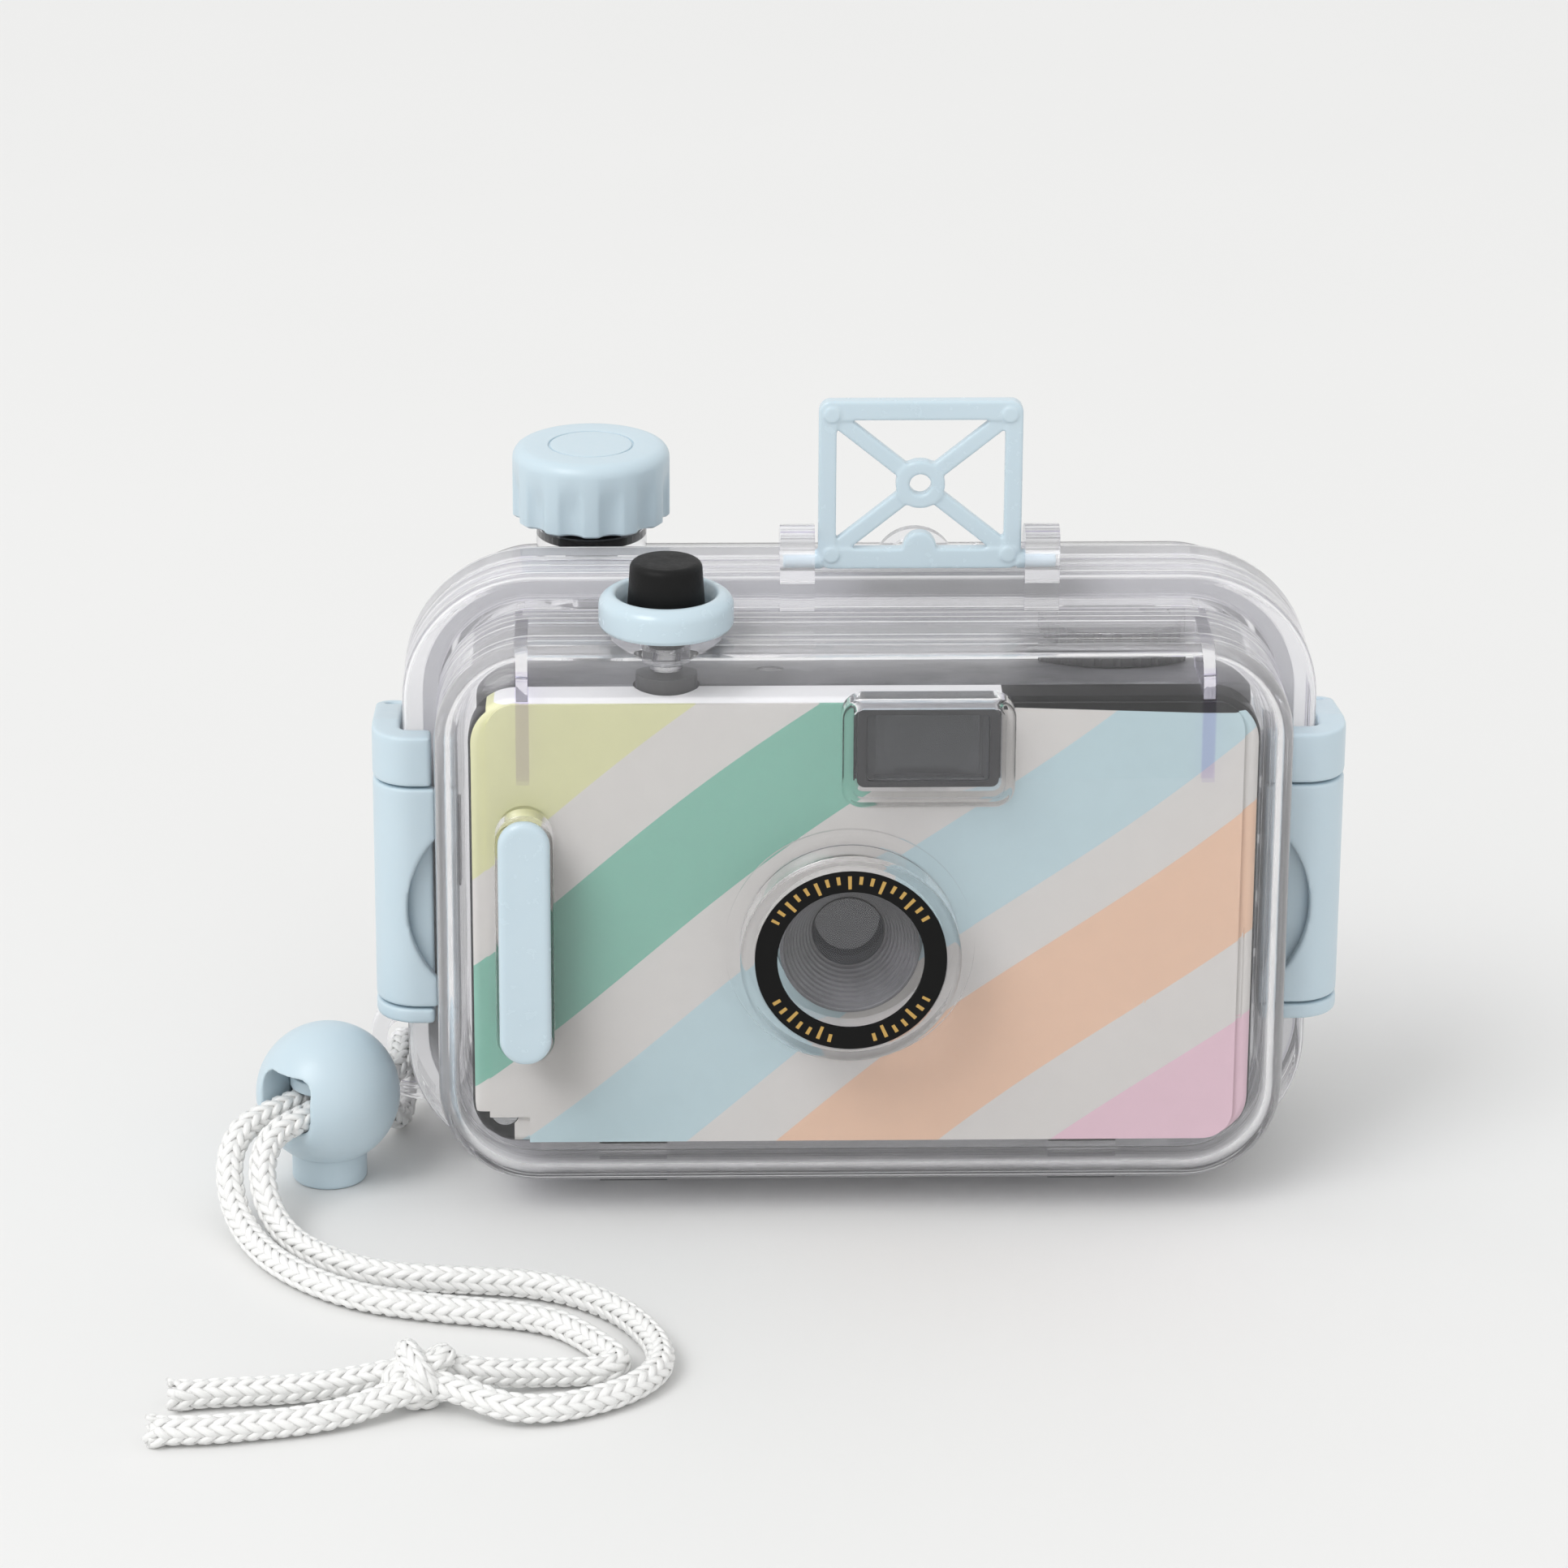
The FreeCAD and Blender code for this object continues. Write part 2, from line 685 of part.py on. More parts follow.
def thumb_wheel():
    low, high = gear_z - gear_width / 2, gear_z + gear_width / 2
    wheel = gear(knob_x, spool_depth, wheel_teeth, low, high, math.pi / 2)
    wheel = wheel.cut(rod_up(knob_x, spool_depth, wheel_radius - 2.6, high - 1.2, high + 1))
    return wheel.cut(rod_up(knob_x, spool_depth, 2.0, low - 1, high + 1))


def take_up_spool():
    top = gear_z + gear_width / 2
    low = camera_low + 2.2
    spool = rod_up(knob_x, spool_depth, 2.0, low, top)
    core_low = lens_z - film_width / 2 - 1.2
    core_high = lens_z + film_width / 2 + 1.2
    spool = spool.fuse(rod_up(knob_x, spool_depth, spool_core_radius, core_low, core_high))
    for flange in (core_low, core_high - 1.2):
        spool = spool.fuse(rod_up(knob_x, spool_depth, spool_flange_radius, flange, flange + 1.2))
    for turn in range(3):
        angle = 2 * math.pi * turn / 3
        slot = box(-0.8, 0.8, 2.5, spool_core_radius + 1, core_low + 4, core_high - 5)
        slot.translate(Vector(0, -rim_rear_y, 0))
        slot.rotate(Vector(0, 0, 0), Vector(0, 0, 1), math.degrees(angle))
        slot.translate(point(knob_x, spool_depth, 0))
        spool = spool.cut(slot)
    return spool


def sprocket_shaft():
    shaft = rod_up(sprocket_x, sprocket_depth, 2.2, camera_low + 3.4, body_top_z - 0.6)
    edge = film_width / 2 - 2.9
    for level in (lens_z - edge, lens_z + edge - sprocket_width):
        wheel = rod_up(sprocket_x, sprocket_depth, sprocket_radius, level,
                       level + sprocket_width)
        shaft = shaft.fuse(wheel)
        for index in range(8):
            angle = 2 * math.pi * index / 8
            tooth = rod_up(sprocket_x + sprocket_radius * math.cos(angle),
                           sprocket_depth + sprocket_radius * math.sin(angle), 0.5, level,
                           level + sprocket_width)
            shaft = shaft.fuse(tooth)
    return shaft


def shutter_boot():
    outer = turned_up(button_x, button_depth, [(0, boot_low), (boot_diameter / 2, boot_low),
                                               (boot_top_diameter / 2, boot_high),
                                               (0, boot_high)])
    outer = rounded(outer, 0.9, at_height(boot_high))
    return outer.cut(rod_up(button_x, button_depth, boot_diameter / 2 - boot_wall,
                            boot_low - 1, boot_high - boot_wall))


def shutter_collar():
    high = boss_face + collar_height
    collar = rod_up(button_x, button_depth, collar_diameter / 2, boss_face, high).cut(
        rod_up(button_x, button_depth, collar_inner_diameter / 2, boss_face - 1, high + 1))
    collar = rounded(collar, 1.4, at_height(high))
    outer = collar_diameter / 2 - 0.1
    return rounded(collar, 0.9, lambda edge: at_height(boss_face)(edge)
                   and edge.BoundBox.XLength > 2 * outer)


def shutter_plunger():
    high = boot_high - boot_wall
    rod = rod_up(button_x, button_depth, plunger_diameter / 2, camera_button_top + gap, high)
    clip = rod_up(button_x, button_depth, plunger_diameter / 2 + 0.8, inner_top - 2.3,
                  inner_top - 1.6)
    return rod.fuse(clip)


def helix_wire(x, depth, radius, low, high, turns):
    # A helix as quarter-turn arcs.
    def spot(turn):
        angle = 2 * math.pi * turn
        return point(x, depth, low + (high - low) * turn / turns) + Vector(
            radius * math.cos(angle), radius * math.sin(angle), 0)
    edges = []
    for quarter in range(int(4 * turns)):
        start = quarter / 4
        edges.append(Part.Arc(spot(start), spot(start + 0.125), spot(start + 0.25)).toShape())
    return Part.Wire(edges)


def coil_spring(name, x, depth, radius, low, high, turns):
    path = helix_wire(x, depth, radius, low + spring_wire / 2, high - spring_wire / 2, turns)
    start = path.Edges[0]
    section = Part.Wire(Part.makeCircle(spring_wire / 2, start.valueAt(start.FirstParameter),
                                        start.tangentAt(start.FirstParameter)))
    pitch = (high - low - spring_wire) / turns
    print(name, "least gap between turns", round(pitch - spring_wire, 2))
    return path.makePipeShell([section], True, False)


def shutter_spring():
    return coil_spring("shutter_spring", button_x, button_depth, neck_diameter / 2 - 0.6,
                       boss_face + neck_height, boot_high - boot_wall, 4)


def shutter_seal():
    middle = body_top - 0.4
    ring = Part.makeTorus(plunger_diameter / 2 + 0.05 + 0.5, 0.5,
                          point(button_x, button_depth, middle))
    return ring


def sight_frame():
    half = sight_thickness / 2
    low = sight_z - sight_pin_diameter / 2 + 0.2
    height = sight_top - low
    centre_z = low + height / 2
    back, front = sight_depth - half, sight_depth + half
    plate = slab(sight_x, centre_z, sight_width, height, 1.6, back, front)
    inner_low, inner_high = low + bottom_bar, sight_top - top_bar
    inner_z = (inner_low + inner_high) / 2
    window = slab(sight_x, inner_z, sight_width - 2 * side_bar, inner_high - inner_low, 0.9,
                  back - 1, front + 1)
    frame = plate.cut(window)
    across = sight_width - 2 * side_bar + 1.2
    upward = inner_high - inner_low + 1.2
    slope = math.degrees(math.atan2(upward, across))
    length = math.hypot(across, upward)
    arms = []
    for sign in (-1, 1):
        arm = slab(0, 0, length, arm_width, 0.2, back + 0.2, front - 0.2)
        arm.rotate(Vector(0, 0, 0), Vector(0, 1, 0), sign * slope)
        arm.translate(Vector(sight_x, 0, inner_z))
        arms.append(arm)
    eye = rod_forward(sight_x, inner_z, eye_diameter / 2, back, front)
    tab = rod_forward(sight_x, inner_low, tab_radius, back, front)
    frame = frame.fuse(arms + [eye, tab])
    frame = frame.cut(rod_forward(sight_x, inner_z, eye_hole_diameter / 2, back - 1, front + 1))
    dots = []
    for side in (-1, 1):
        for level in (low + bottom_bar / 2 + 0.6, sight_top - top_bar / 2 - 0.5):
            dots.append(rod_forward(sight_x + side * (sight_width / 2 - 1.7), level, 1.0,
                                    front - 0.3, front + 0.25))
    pins = []
    for side in (-1, 1):
        near = sight_x + side * (sight_width / 2 - 0.5)
        far = sight_x + side * (sight_width / 2 + pin_reach)
        pins.append(rod_across(min(near, far), max(near, far), sight_depth, sight_z,
                               sight_pin_diameter / 2))
    return frame.fuse(dots + pins).removeSplitter()


def latch_frame():
    # The right latch's frame: a clip over the rim on two barrels, with a block at its top.
    web = box(latch_inner, latch_inner + latch_web, 0.3, latch_front + latch_web,
              latch_low, latch_high)
    lip = box(rim_width / 2 - latch_lip, latch_inner + latch_web, latch_front,
              latch_front + latch_web, latch_low, latch_high)
    block_front = latch_front + latch_web + gap + lever_wall
    ends = []
    for low, high in ((latch_low, foot_high), (block_low, latch_high)):
        side = box(latch_inner, latch_reach, latch_pin_depth, block_front, low, high)
        nose = box(rim_width / 2 - latch_lip, latch_reach, latch_front, block_front, low, high)
        end = side.fuse(nose).removeSplitter()
        end = rounded(end, latch_round, lambda edge: upright_at(latch_reach)(edge)
                      and edge.Vertexes[0].Y < y_at(latch_front))
        ends.append(end)
    corner = rounded(web.fuse(lip).removeSplitter(), lever_round - lever_wall - gap,
                     lambda edge: upright_at(latch_inner + latch_web)(edge)
                     and edge.Vertexes[0].Y < y_at(latch_front))
    corner = rounded(corner, rim_round - 0.1, lambda edge: upright_at(latch_inner)(edge)
                     and abs(edge.Vertexes[0].Y - y_at(latch_front)) < 0.01)
    frame = corner.fuse(ends)
    slot_back = lever_hinge_depth - hinge_radius - 0.1
    frame = frame.cut(box(latch_inner - 1, latch_reach + 1, slot_back,
                          lever_hinge_depth + hinge_radius + 0.1, lever_low - gap,
                          lever_high + gap))
    lug_low_z, lug_high_z = lug_span()
    for low, high in ((latch_low, lug_low_z - gap), (lug_high_z + gap, latch_high)):
        barrel = rod_up(latch_pin_x, latch_pin_depth, hinge_radius, low, high)
        arm = box(latch_inner, latch_inner + latch_web, latch_pin_depth, 0.6, low, high)
        frame = frame.fuse(barrel.fuse(arm))
    frame = frame.cut(rod_up(latch_pin_x, latch_pin_depth, pin_radius + running,
                             latch_low - 1, latch_high + 1))
    start, end = latch_front - 4.0, latch_pin_depth - hinge_radius
    above = polygon([point(latch_inner - 1, start, latch_high),
                     point(latch_inner - 1, end - 1, latch_high - latch_fall),
                     point(latch_inner - 1, end - 1, latch_high + 1),
                     point(latch_inner - 1, start, latch_high + 1)])
    frame = frame.cut(above.extrude(Vector(latch_reach - latch_inner + 2, 0, 0)))
    frame = frame.cut(rod_up(lever_pin_x, lever_hinge_depth, pin_radius, latch_low + 0.6,
                             block_low + 2.0))
    return frame.removeSplitter()


def latch_lever():
    back = latch_front + latch_web + gap
    front = back + lever_wall
    inner = rim_width / 2 - latch_lip - lever_overhang
    side = box(latch_reach - lever_wall, latch_reach, lever_hinge_depth, front,
               lever_low, lever_high)
    face = box(inner, latch_reach, back, front, lever_low, lever_high)
    lever = side.fuse(face).removeSplitter()
    lever = rounded(lever, lever_round, lambda edge: upright_at(latch_reach)(edge)
                    and edge.Vertexes[0].Y < y_at(back))
    lever = rounded(lever, lever_round - lever_wall,
                    lambda edge: upright_at(latch_reach - lever_wall)(edge)
                    and abs(edge.Vertexes[0].Y - y_at(back)) < 0.01)
    knuckle = rod_up(lever_pin_x, lever_hinge_depth, hinge_radius - 0.35, lever_low, lever_high)
    lever = lever.fuse(knuckle)
    middle = (lever_low + lever_high) / 2 - notch_drop
    notch_radius = (notch_height ** 2 / 4 + notch_depth ** 2) / (2 * notch_depth)
    centre_x = inner + notch_depth - notch_radius
    lever = lever.cut(rod_forward(centre_x, middle, notch_radius, back - 0.5, front + 1))
    return lever.cut(rod_up(lever_pin_x, lever_hinge_depth, pin_radius + running,
                            lever_low - 1, lever_high + 1)).removeSplitter()


def latch_pin():
    return rod_up(latch_pin_x, latch_pin_depth, pin_radius, latch_low + 0.4,
                  latch_high - latch_fall - 0.4)


def lever_pin():
    return rod_up(lever_pin_x, lever_hinge_depth, pin_radius, latch_low + 0.6, block_low + 2.0)


def camera_span():
    return (camera_low + camera_high) / 2, camera_high - camera_low


def camera_body():
    half = camera_width / 2 - 1.0
    front = camera_front - cover_depth
    back = camera_back + door_thickness + 0.2
    block = box(-half, half, back, front, camera_low + 0.6, body_top_z)
    low = camera_low + 3.0
    cuts = [
        rod_up(knob_x, spool_depth, spool_chamber_radius, low, body_top_z + 1),
        box(knob_x - spool_chamber_radius, knob_x + spool_chamber_radius, back - 1, spool_depth,
            low, body_top_z + 1),
        rod_up(knob_x, spool_depth, 2.0 + running, camera_low + 2, low + 1),
        rod_up(sprocket_x, sprocket_depth, sprocket_radius + 1.2, low, body_top_z + 1),
        box(sprocket_x - sprocket_radius - 1.2, sprocket_x + sprocket_radius + 1.2, back - 1,
            sprocket_depth, low, body_top_z + 1),
        rod_up(cassette_x, cassette_depth, cassette_radius, low, body_top_z - 2),
        box(cassette_x - cassette_radius, cassette_x + cassette_radius, back - 1, cassette_depth,
            low, body_top_z - 2),
        rod_up(cassette_x, cassette_depth, 2.2 + running, body_top_z - 3, body_top_z + 1),
        box(knob_x, cassette_x, back - 1, back + 1.0, lens_z - film_slot, lens_z + film_slot),
        box(button_x - 5, button_x + 5, button_depth - 5, front + 1, body_top_z - 3,
            body_top_z + 1),
        slab(lens_x, lens_z, shutter_room_width, shutter_room_width, shutter_room_corner,
             front - shutter_room_depth, front + 1),
        rod_forward(lens_x, lens_z, 6.0, front - 9, front),
    ]
    gate = rounded_outline(lens_x, lens_z, film_gate_width, film_gate_height, 0.6, back - 1)
    throat = rounded_outline(lens_x, lens_z, 11.0, 9.0, 0.6, front - 8.5)
    cuts.append(Part.makeLoft([gate, throat], True, True))
    for cut in cuts:
        block = block.cut(cut)
    pivot = rod_forward(lens_x + blade_x, lens_z + blade_z, 1.0, front - 6, front + 0.65)
    hinge_x, hinge_depth = door_hinge_place()
    lugs = []
    for share in (0.33, 0.67):
        low, high = knuckle_span(share)
        knuckle = rod_up(hinge_x, hinge_depth, door_hinge_diameter / 2, low, high)
        arm = box(half - 1, hinge_x, back, hinge_depth + door_hinge_diameter / 2, low, high)
        lugs.append(knuckle.fuse(arm).cut(rod_up(hinge_x, hinge_depth, 0.62, low - 1,
                                                 high + 1)))
    return block.fuse([pivot] + lugs).removeSplitter()


def door_hinge_place():
    return camera_width / 2 + 0.4, camera_back + door_hinge_diameter / 2


def knuckle_span(share):
    middle = camera_low + share * (body_top_z - camera_low)
    return middle - door_knuckle / 2, middle + door_knuckle / 2


def camera_back_door():
    low, high = camera_low + 0.6, body_top_z - gap
    half = camera_width / 2 - 1.0
    door = slab(0, (low + high) / 2, 2 * half, high - low, 2.0, camera_back,
                camera_back + door_thickness)
    hinge_x, hinge_depth = door_hinge_place()
    for share in (0.16, 0.5, 0.84):
        low, high = knuckle_span(share)
        knuckle = rod_up(hinge_x, hinge_depth, door_hinge_diameter / 2, low, high)
        arm = box(half - 1, hinge_x, camera_back, camera_back + door_thickness, low, high)
        door = door.fuse(knuckle.fuse(arm).cut(rod_up(hinge_x, hinge_depth, 0.62, low - 1,
                                                      high + 1)))
    tab = box(-half - 1.2, -half + 1, camera_back, camera_back + door_thickness, lens_z - 6,
              lens_z + 6)
    hook = box(-half - 1.2, -half - 0.2, camera_back, camera_back + 3.0, lens_z - 6, lens_z + 6)
    return door.fuse([tab, hook]).removeSplitter()


def door_hinge_pin():
    hinge_x, hinge_depth = door_hinge_place()
    return rod_up(hinge_x, hinge_depth, 0.6, knuckle_span(0.16)[0], knuckle_span(0.84)[1])


def pressure_plate():
    inside = camera_back + door_thickness
    return slab(lens_x, lens_z, film_gate_width + 6, film_gate_height + 6, 2.0, inside + 0.01,
                inside + 0.8)


def camera_front_cover():
    middle, height = camera_span()
    back = camera_front - cover_depth + 0.1
    cover = rounded(slab(0, middle, camera_width, height, camera_corner, back, camera_front),
                    1.2, at_depth(camera_front))
    hollow = slab(0, middle, camera_width - 2 * camera_wall, height - 2 * camera_wall,
                  camera_corner - camera_wall, back - 1, camera_front - camera_wall)
    bump = rounded(stadium(grip_x, grip_z, grip_width - 2.2, grip_length - 2.2,
                           camera_front - 1, front_reach + grip_rise - 1.6), 0.8,
                   at_depth(front_reach + grip_rise - 1.6))
    socket = rod_forward(lens_x, lens_z, cone_diameter / 2 + 1.6, camera_front - 3.4,
                         camera_front)
    cover = cover.cut(hollow).fuse([bump, socket])
    for x, z in screw_places():
        cover = cover.fuse(rod_forward(x, z, 2.6, back, camera_front - 0.8))
        cover = cover.cut(rod_forward(x, z, 1.1, back - 1, camera_front + 1))
        cover = cover.cut(rod_forward(x, z, screw_head_diameter / 2 + 0.1, camera_front - 1.1,
                                      camera_front + 1))
    cover = cover.cut(rod_forward(lens_x, lens_z, cone_diameter / 2 + 0.1, back - 1,
                                  camera_front + 1))
    lens_width, lens_height = finder_lens_size()
    cover = cover.cut(slab(finder_x, finder_z, lens_width - 1.6, lens_height - 1.6, 1.0,
                           back - 1, camera_front + 1))
    cover = cover.cut(rod_up(button_x, button_depth, 4.3, camera_high - 4, camera_high + 1))
    return cover.removeSplitter()


def screw_places():
    x = camera_width / 2 - 4.2
    return [(-x, camera_low + 4.4), (x, camera_low + 4.4), (-x, camera_high - 4.4),
            (x, camera_high - 4.4)]


def body_screws():
    screws = []
    for x, z in screw_places():
        head = rod_forward(x, z, screw_head_diameter / 2, camera_front - 1.1,
                           camera_front - 0.1)
        head = head.cut(box(x - 1.3, x + 1.3, camera_front - 0.5, camera_front, z - 0.25,
                            z + 0.25))
        shank = rod_forward(x, z, 1.0, camera_front - cover_depth + 0.1, camera_front - 1.1)
        screws.append(head.fuse(shank))
    return Part.makeCompound(screws)


def finder_lens_size():
    return finder_width - 2 * finder_wall - 0.6, finder_frame_height


def finder_frame():
    # The dark mask round the camera's own finder, with ribs against stray light.
    width, height = finder_lens_size()
    back = camera_front + 0.02
    frame = slab(finder_x, finder_z, width, height, 1.0, back, finder_frame_front)
    frame = frame.cut(slab(finder_x, finder_z, width - 2.4, height - 1.6, 0.6, back - 1,
                           finder_frame_front + 1))
    ribs = []
    for side in (-1, 1):
        for index in range(4):
            depth = back + 0.5 + index * 0.55
            near = finder_x + side * (width / 2 - 1.3)
            far = near - side * (1.5 - 0.3 * index)
            ribs.append(box(min(near, far), max(near, far), depth, depth + 0.25,
                            finder_z - height / 2 + 0.6, finder_z + height / 2 - 0.6))
    return frame.fuse(ribs).removeSplitter()


def finder_front_lens():
    width, height = finder_lens_size()
    lens = slab(finder_x, finder_z, width - 2.6, height - 1.8, 0.5, finder_frame_front - 1.1,
                finder_frame_front - 0.2)
    middle = finder_frame_front - 0.7 + finder_lens_radius
    hollow = Part.makeSphere(finder_lens_radius, point(finder_x, middle, finder_z))
    return lens.cut(hollow)


def finder_eyepiece():
    width, height = finder_tube_size()
    return slab(finder_x, finder_z, width - 0.1, height - 0.1, 0.05, camera_back + 0.3,
                camera_back + 1.5)


def finder_tube_size():
    lens_width, lens_height = finder_lens_size()
    return lens_width - 3.0, lens_height - 2.6


def print_panel():
    middle, height = camera_span()
    back = camera_front + 0.02
    panel = slab(0, middle, panel_width, panel_height, camera_corner - 2, back,
                 back + panel_thickness)
    lens_width, lens_height = finder_lens_size()
    cuts = [
        rod_forward(lens_x, lens_z, cone_diameter / 2 + 0.5, back - 1, back + 2),
        slab(finder_x, finder_z + 2, lens_width + 0.4, lens_height + 4.4, 0.8, back - 1,
             back + 2),
        stadium(grip_x, grip_z, grip_width, grip_length, back - 1, back + 2),
        box(-panel_width / 2 - 1, -panel_width / 2 + 5.2, back - 1, back + 2,
            middle - panel_height / 2 - 1, middle - panel_height / 2 + 3.6),
    ]
    for cut in cuts:
        panel = panel.cut(cut)
    return panel


def camera_top_cover():
    half = camera_width / 2 - 1.0
    front = camera_front - cover_depth
    back = camera_back
    low, high = body_top_z + 0.1, camera_high
    outer = box(-half, half, back, front, low, high)
    outer = rounded(outer, 1.0, lambda edge: at_height(high)(edge)
                    and edge.BoundBox.XLength > 2 * half - 1)
    hollow = box(-half + camera_wall, half - camera_wall, back + camera_wall,
                 front - camera_wall, low - 1, high - camera_wall)
    width, height = finder_tube_size()
    tube_outer = box(finder_x - width / 2 - 1, finder_x + width / 2 + 1, back, front,
                     finder_z - height / 2 - 1, high - 0.5)
    tube_inner = box(finder_x - width / 2, finder_x + width / 2, back - 1, front + 1,
                     finder_z - height / 2, finder_z + height / 2)
    cover = outer.cut(hollow).fuse([tube_outer, dial_boss()]).cut(tube_inner)
    gear_low, gear_high = gear_z - gear_width / 2 - gap, gear_z + gear_width / 2 + gap
    cuts = [
        rod_up(button_x, button_depth, 4.3, high - 4, high + 1),
        rod_up(knob_x, spool_depth, wheel_radius + 1.0, gear_low, gear_high),
        rod_up(knob_x, knob_depth, pinion_radius + 1.4, gear_low - 1, high + 1),
        rod_up(cassette_x, cassette_depth, rewind_shaft_diameter / 2 + running, high - 3,
               high + 1),
        rod_up(dial_x, dial_depth, 1.0 + running, high - 4, high - 0.6),
        rod_up(dial_x, dial_depth + dial_radius - 2.4, 1.8, high - 2, high + 1),
    ]
    for cut in cuts:
        cover = cover.cut(cut)
    return cover.removeSplitter()


def dial_boss():
    return rod_up(dial_x, dial_depth, 2.2, camera_high - camera_wall - 1.0, camera_high - 0.5)


def counter_dial():
    high = camera_high - camera_wall - 1.0 - gap
    dial = rod_up(dial_x, dial_depth, dial_radius, high - 0.9, high)
    for index in range(12):
        angle = 2 * math.pi * index / 12
        dial = dial.cut(rod_up(dial_x + (dial_radius - 1.0) * math.cos(angle),
                               dial_depth + (dial_radius - 1.0) * math.sin(angle), 0.4,
                               high - 0.3, high + 1))
    return dial.fuse(rod_up(dial_x, dial_depth, 1.0, high - 0.5, camera_high - 0.9))


def counter_window():
    return rod_up(dial_x, dial_depth + dial_radius - 2.4, 1.8, camera_high - 1.2,
                  camera_high - 0.2)


def camera_shutter_button():
    return rod_up(button_x, button_depth, 4.0, camera_high - 1.2, camera_button_top)


def rewind_knob():
    low = camera_high + gap
    high = low + rewind_height
    knob = rod_up(cassette_x, cassette_depth, rewind_diameter / 2, low, high)
    for index in range(24):
        angle = 2 * math.pi * index / 24
        reach = rewind_diameter / 2 + 0.35
        knob = knob.cut(rod_up(cassette_x + reach * math.cos(angle),
                               cassette_depth + reach * math.sin(angle), 0.7, low - 1, high + 1))
    recess = box(cassette_x - 7.6, cassette_x + 7.6, cassette_depth - 2.1, cassette_depth + 2.1,
                 high - 0.9, high + 1)
    return knob.cut(recess)


def rewind_crank():
    low = camera_high + gap + rewind_height - 0.9
    arm = box(cassette_x - 7.2, cassette_x + 7.2, cassette_depth - 1.7, cassette_depth + 1.7,
              low, low + 0.9)
    grip = rod_up(cassette_x + 5.2, cassette_depth, 1.6, low + 0.9, low + 1.5)
    return arm.fuse(grip)


def rewind_fork():
    radius = rewind_shaft_diameter / 2
    shaft = rod_up(cassette_x, cassette_depth, radius, body_top_z - 6.0, camera_high + gap)
    slot = box(cassette_x - 0.6, cassette_x + 0.6, cassette_depth - 3, cassette_depth + 3,
               body_top_z - 7, body_top_z - 4)
    return shaft.cut(slot)


def film_cassette():
    # The metal can that the film rewinds into.
    low = camera_low + 3.4
    high = body_top_z - 6.4
    can = rod_up(cassette_x, cassette_depth, cassette_radius - 0.5, low + 1.2, high)
    can = can.fuse(rod_up(cassette_x, cassette_depth, 5.6, low, low + 1.2))
    return can.cut(rod_up(cassette_x, cassette_depth, 3.4, high - 6, high + 1))


def lens_cone():
    # The lens barrel, with a stepped cone that keeps stray light off the glass.
    mouth = cone_mouth_diameter / 2
    inner = lens_diameter / 2
    steps = 5
    floor = cone_front - 4.6
    profile = [(inner - 0.6, cone_back), (cone_diameter / 2, cone_back),
               (cone_diameter / 2, cone_front - 0.5), (cone_diameter / 2 - 0.5, cone_front),
               (mouth - 0.2, cone_front)]
    for index in range(steps):
        radius = mouth - 0.2 - (mouth - 0.2 - inner) * index / steps
        after = mouth - 0.2 - (mouth - 0.2 - inner) * (index + 1) / steps
        depth = cone_front - (cone_front - floor) * (index + 1) / steps
        profile += [(radius, depth), (after, depth)]
    profile += [(inner, cone_back + 1.0), (inner - 0.6, cone_back + 1.0)]
    return turned_forward(lens_x, lens_z, profile)


def front_lens_element():
    radius = lens_diameter / 2 - 0.03
    back = cone_back + 1.0
    disc = rod_forward(lens_x, lens_z, radius, back, back + 1.0)
    height = 0.7
    ball = (radius ** 2 + height ** 2) / (2 * height)
    dome = Part.makeSphere(ball, point(lens_x, back + 1.0 + height - ball, lens_z))
    cap = dome.common(rod_forward(lens_x, lens_z, radius, back + 0.9, back + 3))
    return disc.fuse(cap).removeSplitter()


def rear_lens_element():
    front = camera_front - cover_depth
    return rod_forward(lens_x, lens_z, 5.95, front - 7.6, front - 5.8)


def aperture_plate():
    back = cone_back - 0.6
    plate = rod_forward(lens_x, lens_z, cone_diameter / 2 + 1.2, back, cone_back - 0.02)
    return plate.cut(rod_forward(lens_x, lens_z, aperture_diameter / 2, back - 1, cone_back + 1))


def shutter_blade():
    back = cone_back - 0.6 - gap - blade_thickness
    front = back + blade_thickness
    pivot_x, pivot_z = lens_x + blade_x, lens_z + blade_z
    blade = rod_forward(lens_x, lens_z, 3.4, back, front)
    blade = blade.fuse(rod_forward(pivot_x, pivot_z, 2.4, back, front))
    side = Vector(-blade_z, 0, blade_x)
    side.normalize()
    near, far = point(pivot_x, back, pivot_z), point(lens_x, back, lens_z)
    arm = polygon([near - side * 1.4, near + side * 1.4, far + side * 1.4, far - side * 1.4])
    blade = blade.fuse(arm.extrude(Vector(0, -blade_thickness, 0)))
    return blade.cut(rod_forward(pivot_x, pivot_z, 1.0 + running, back - 1,
                                 front + 1)).removeSplitter()


def lock_point(along, side, z):
    # A place in the cord lock: along its hole, and to the left of that direction.
    x = ball_x - along * ball_turn_sine - side * ball_turn_cosine
    depth = ball_depth + along * ball_turn_cosine - side * ball_turn_sine
    return x, depth, z


def lock_block(length, width, low, high, corner):
    # A bar through the cord lock along its hole, with rounded long edges.
    bar = Part.makeBox(width, length, high - low, Vector(-width / 2, -length / 2, low))
    if corner:
        bar = bar.makeFillet(corner, [edge for edge in bar.Edges
                                      if abs(edge.BoundBox.YLength - length) < 0.01])
    bar.rotate(Vector(0, 0, 0), Vector(0, 0, 1), -ball_turn)
    bar.translate(point(ball_x, ball_depth, 0))
    return bar


def lock_hole(corner):
    return lock_block(3 * ball_diameter, lock_hole_width, lock_hole_z - lock_hole_height / 2,
                      lock_hole_z + lock_hole_height / 2, corner)


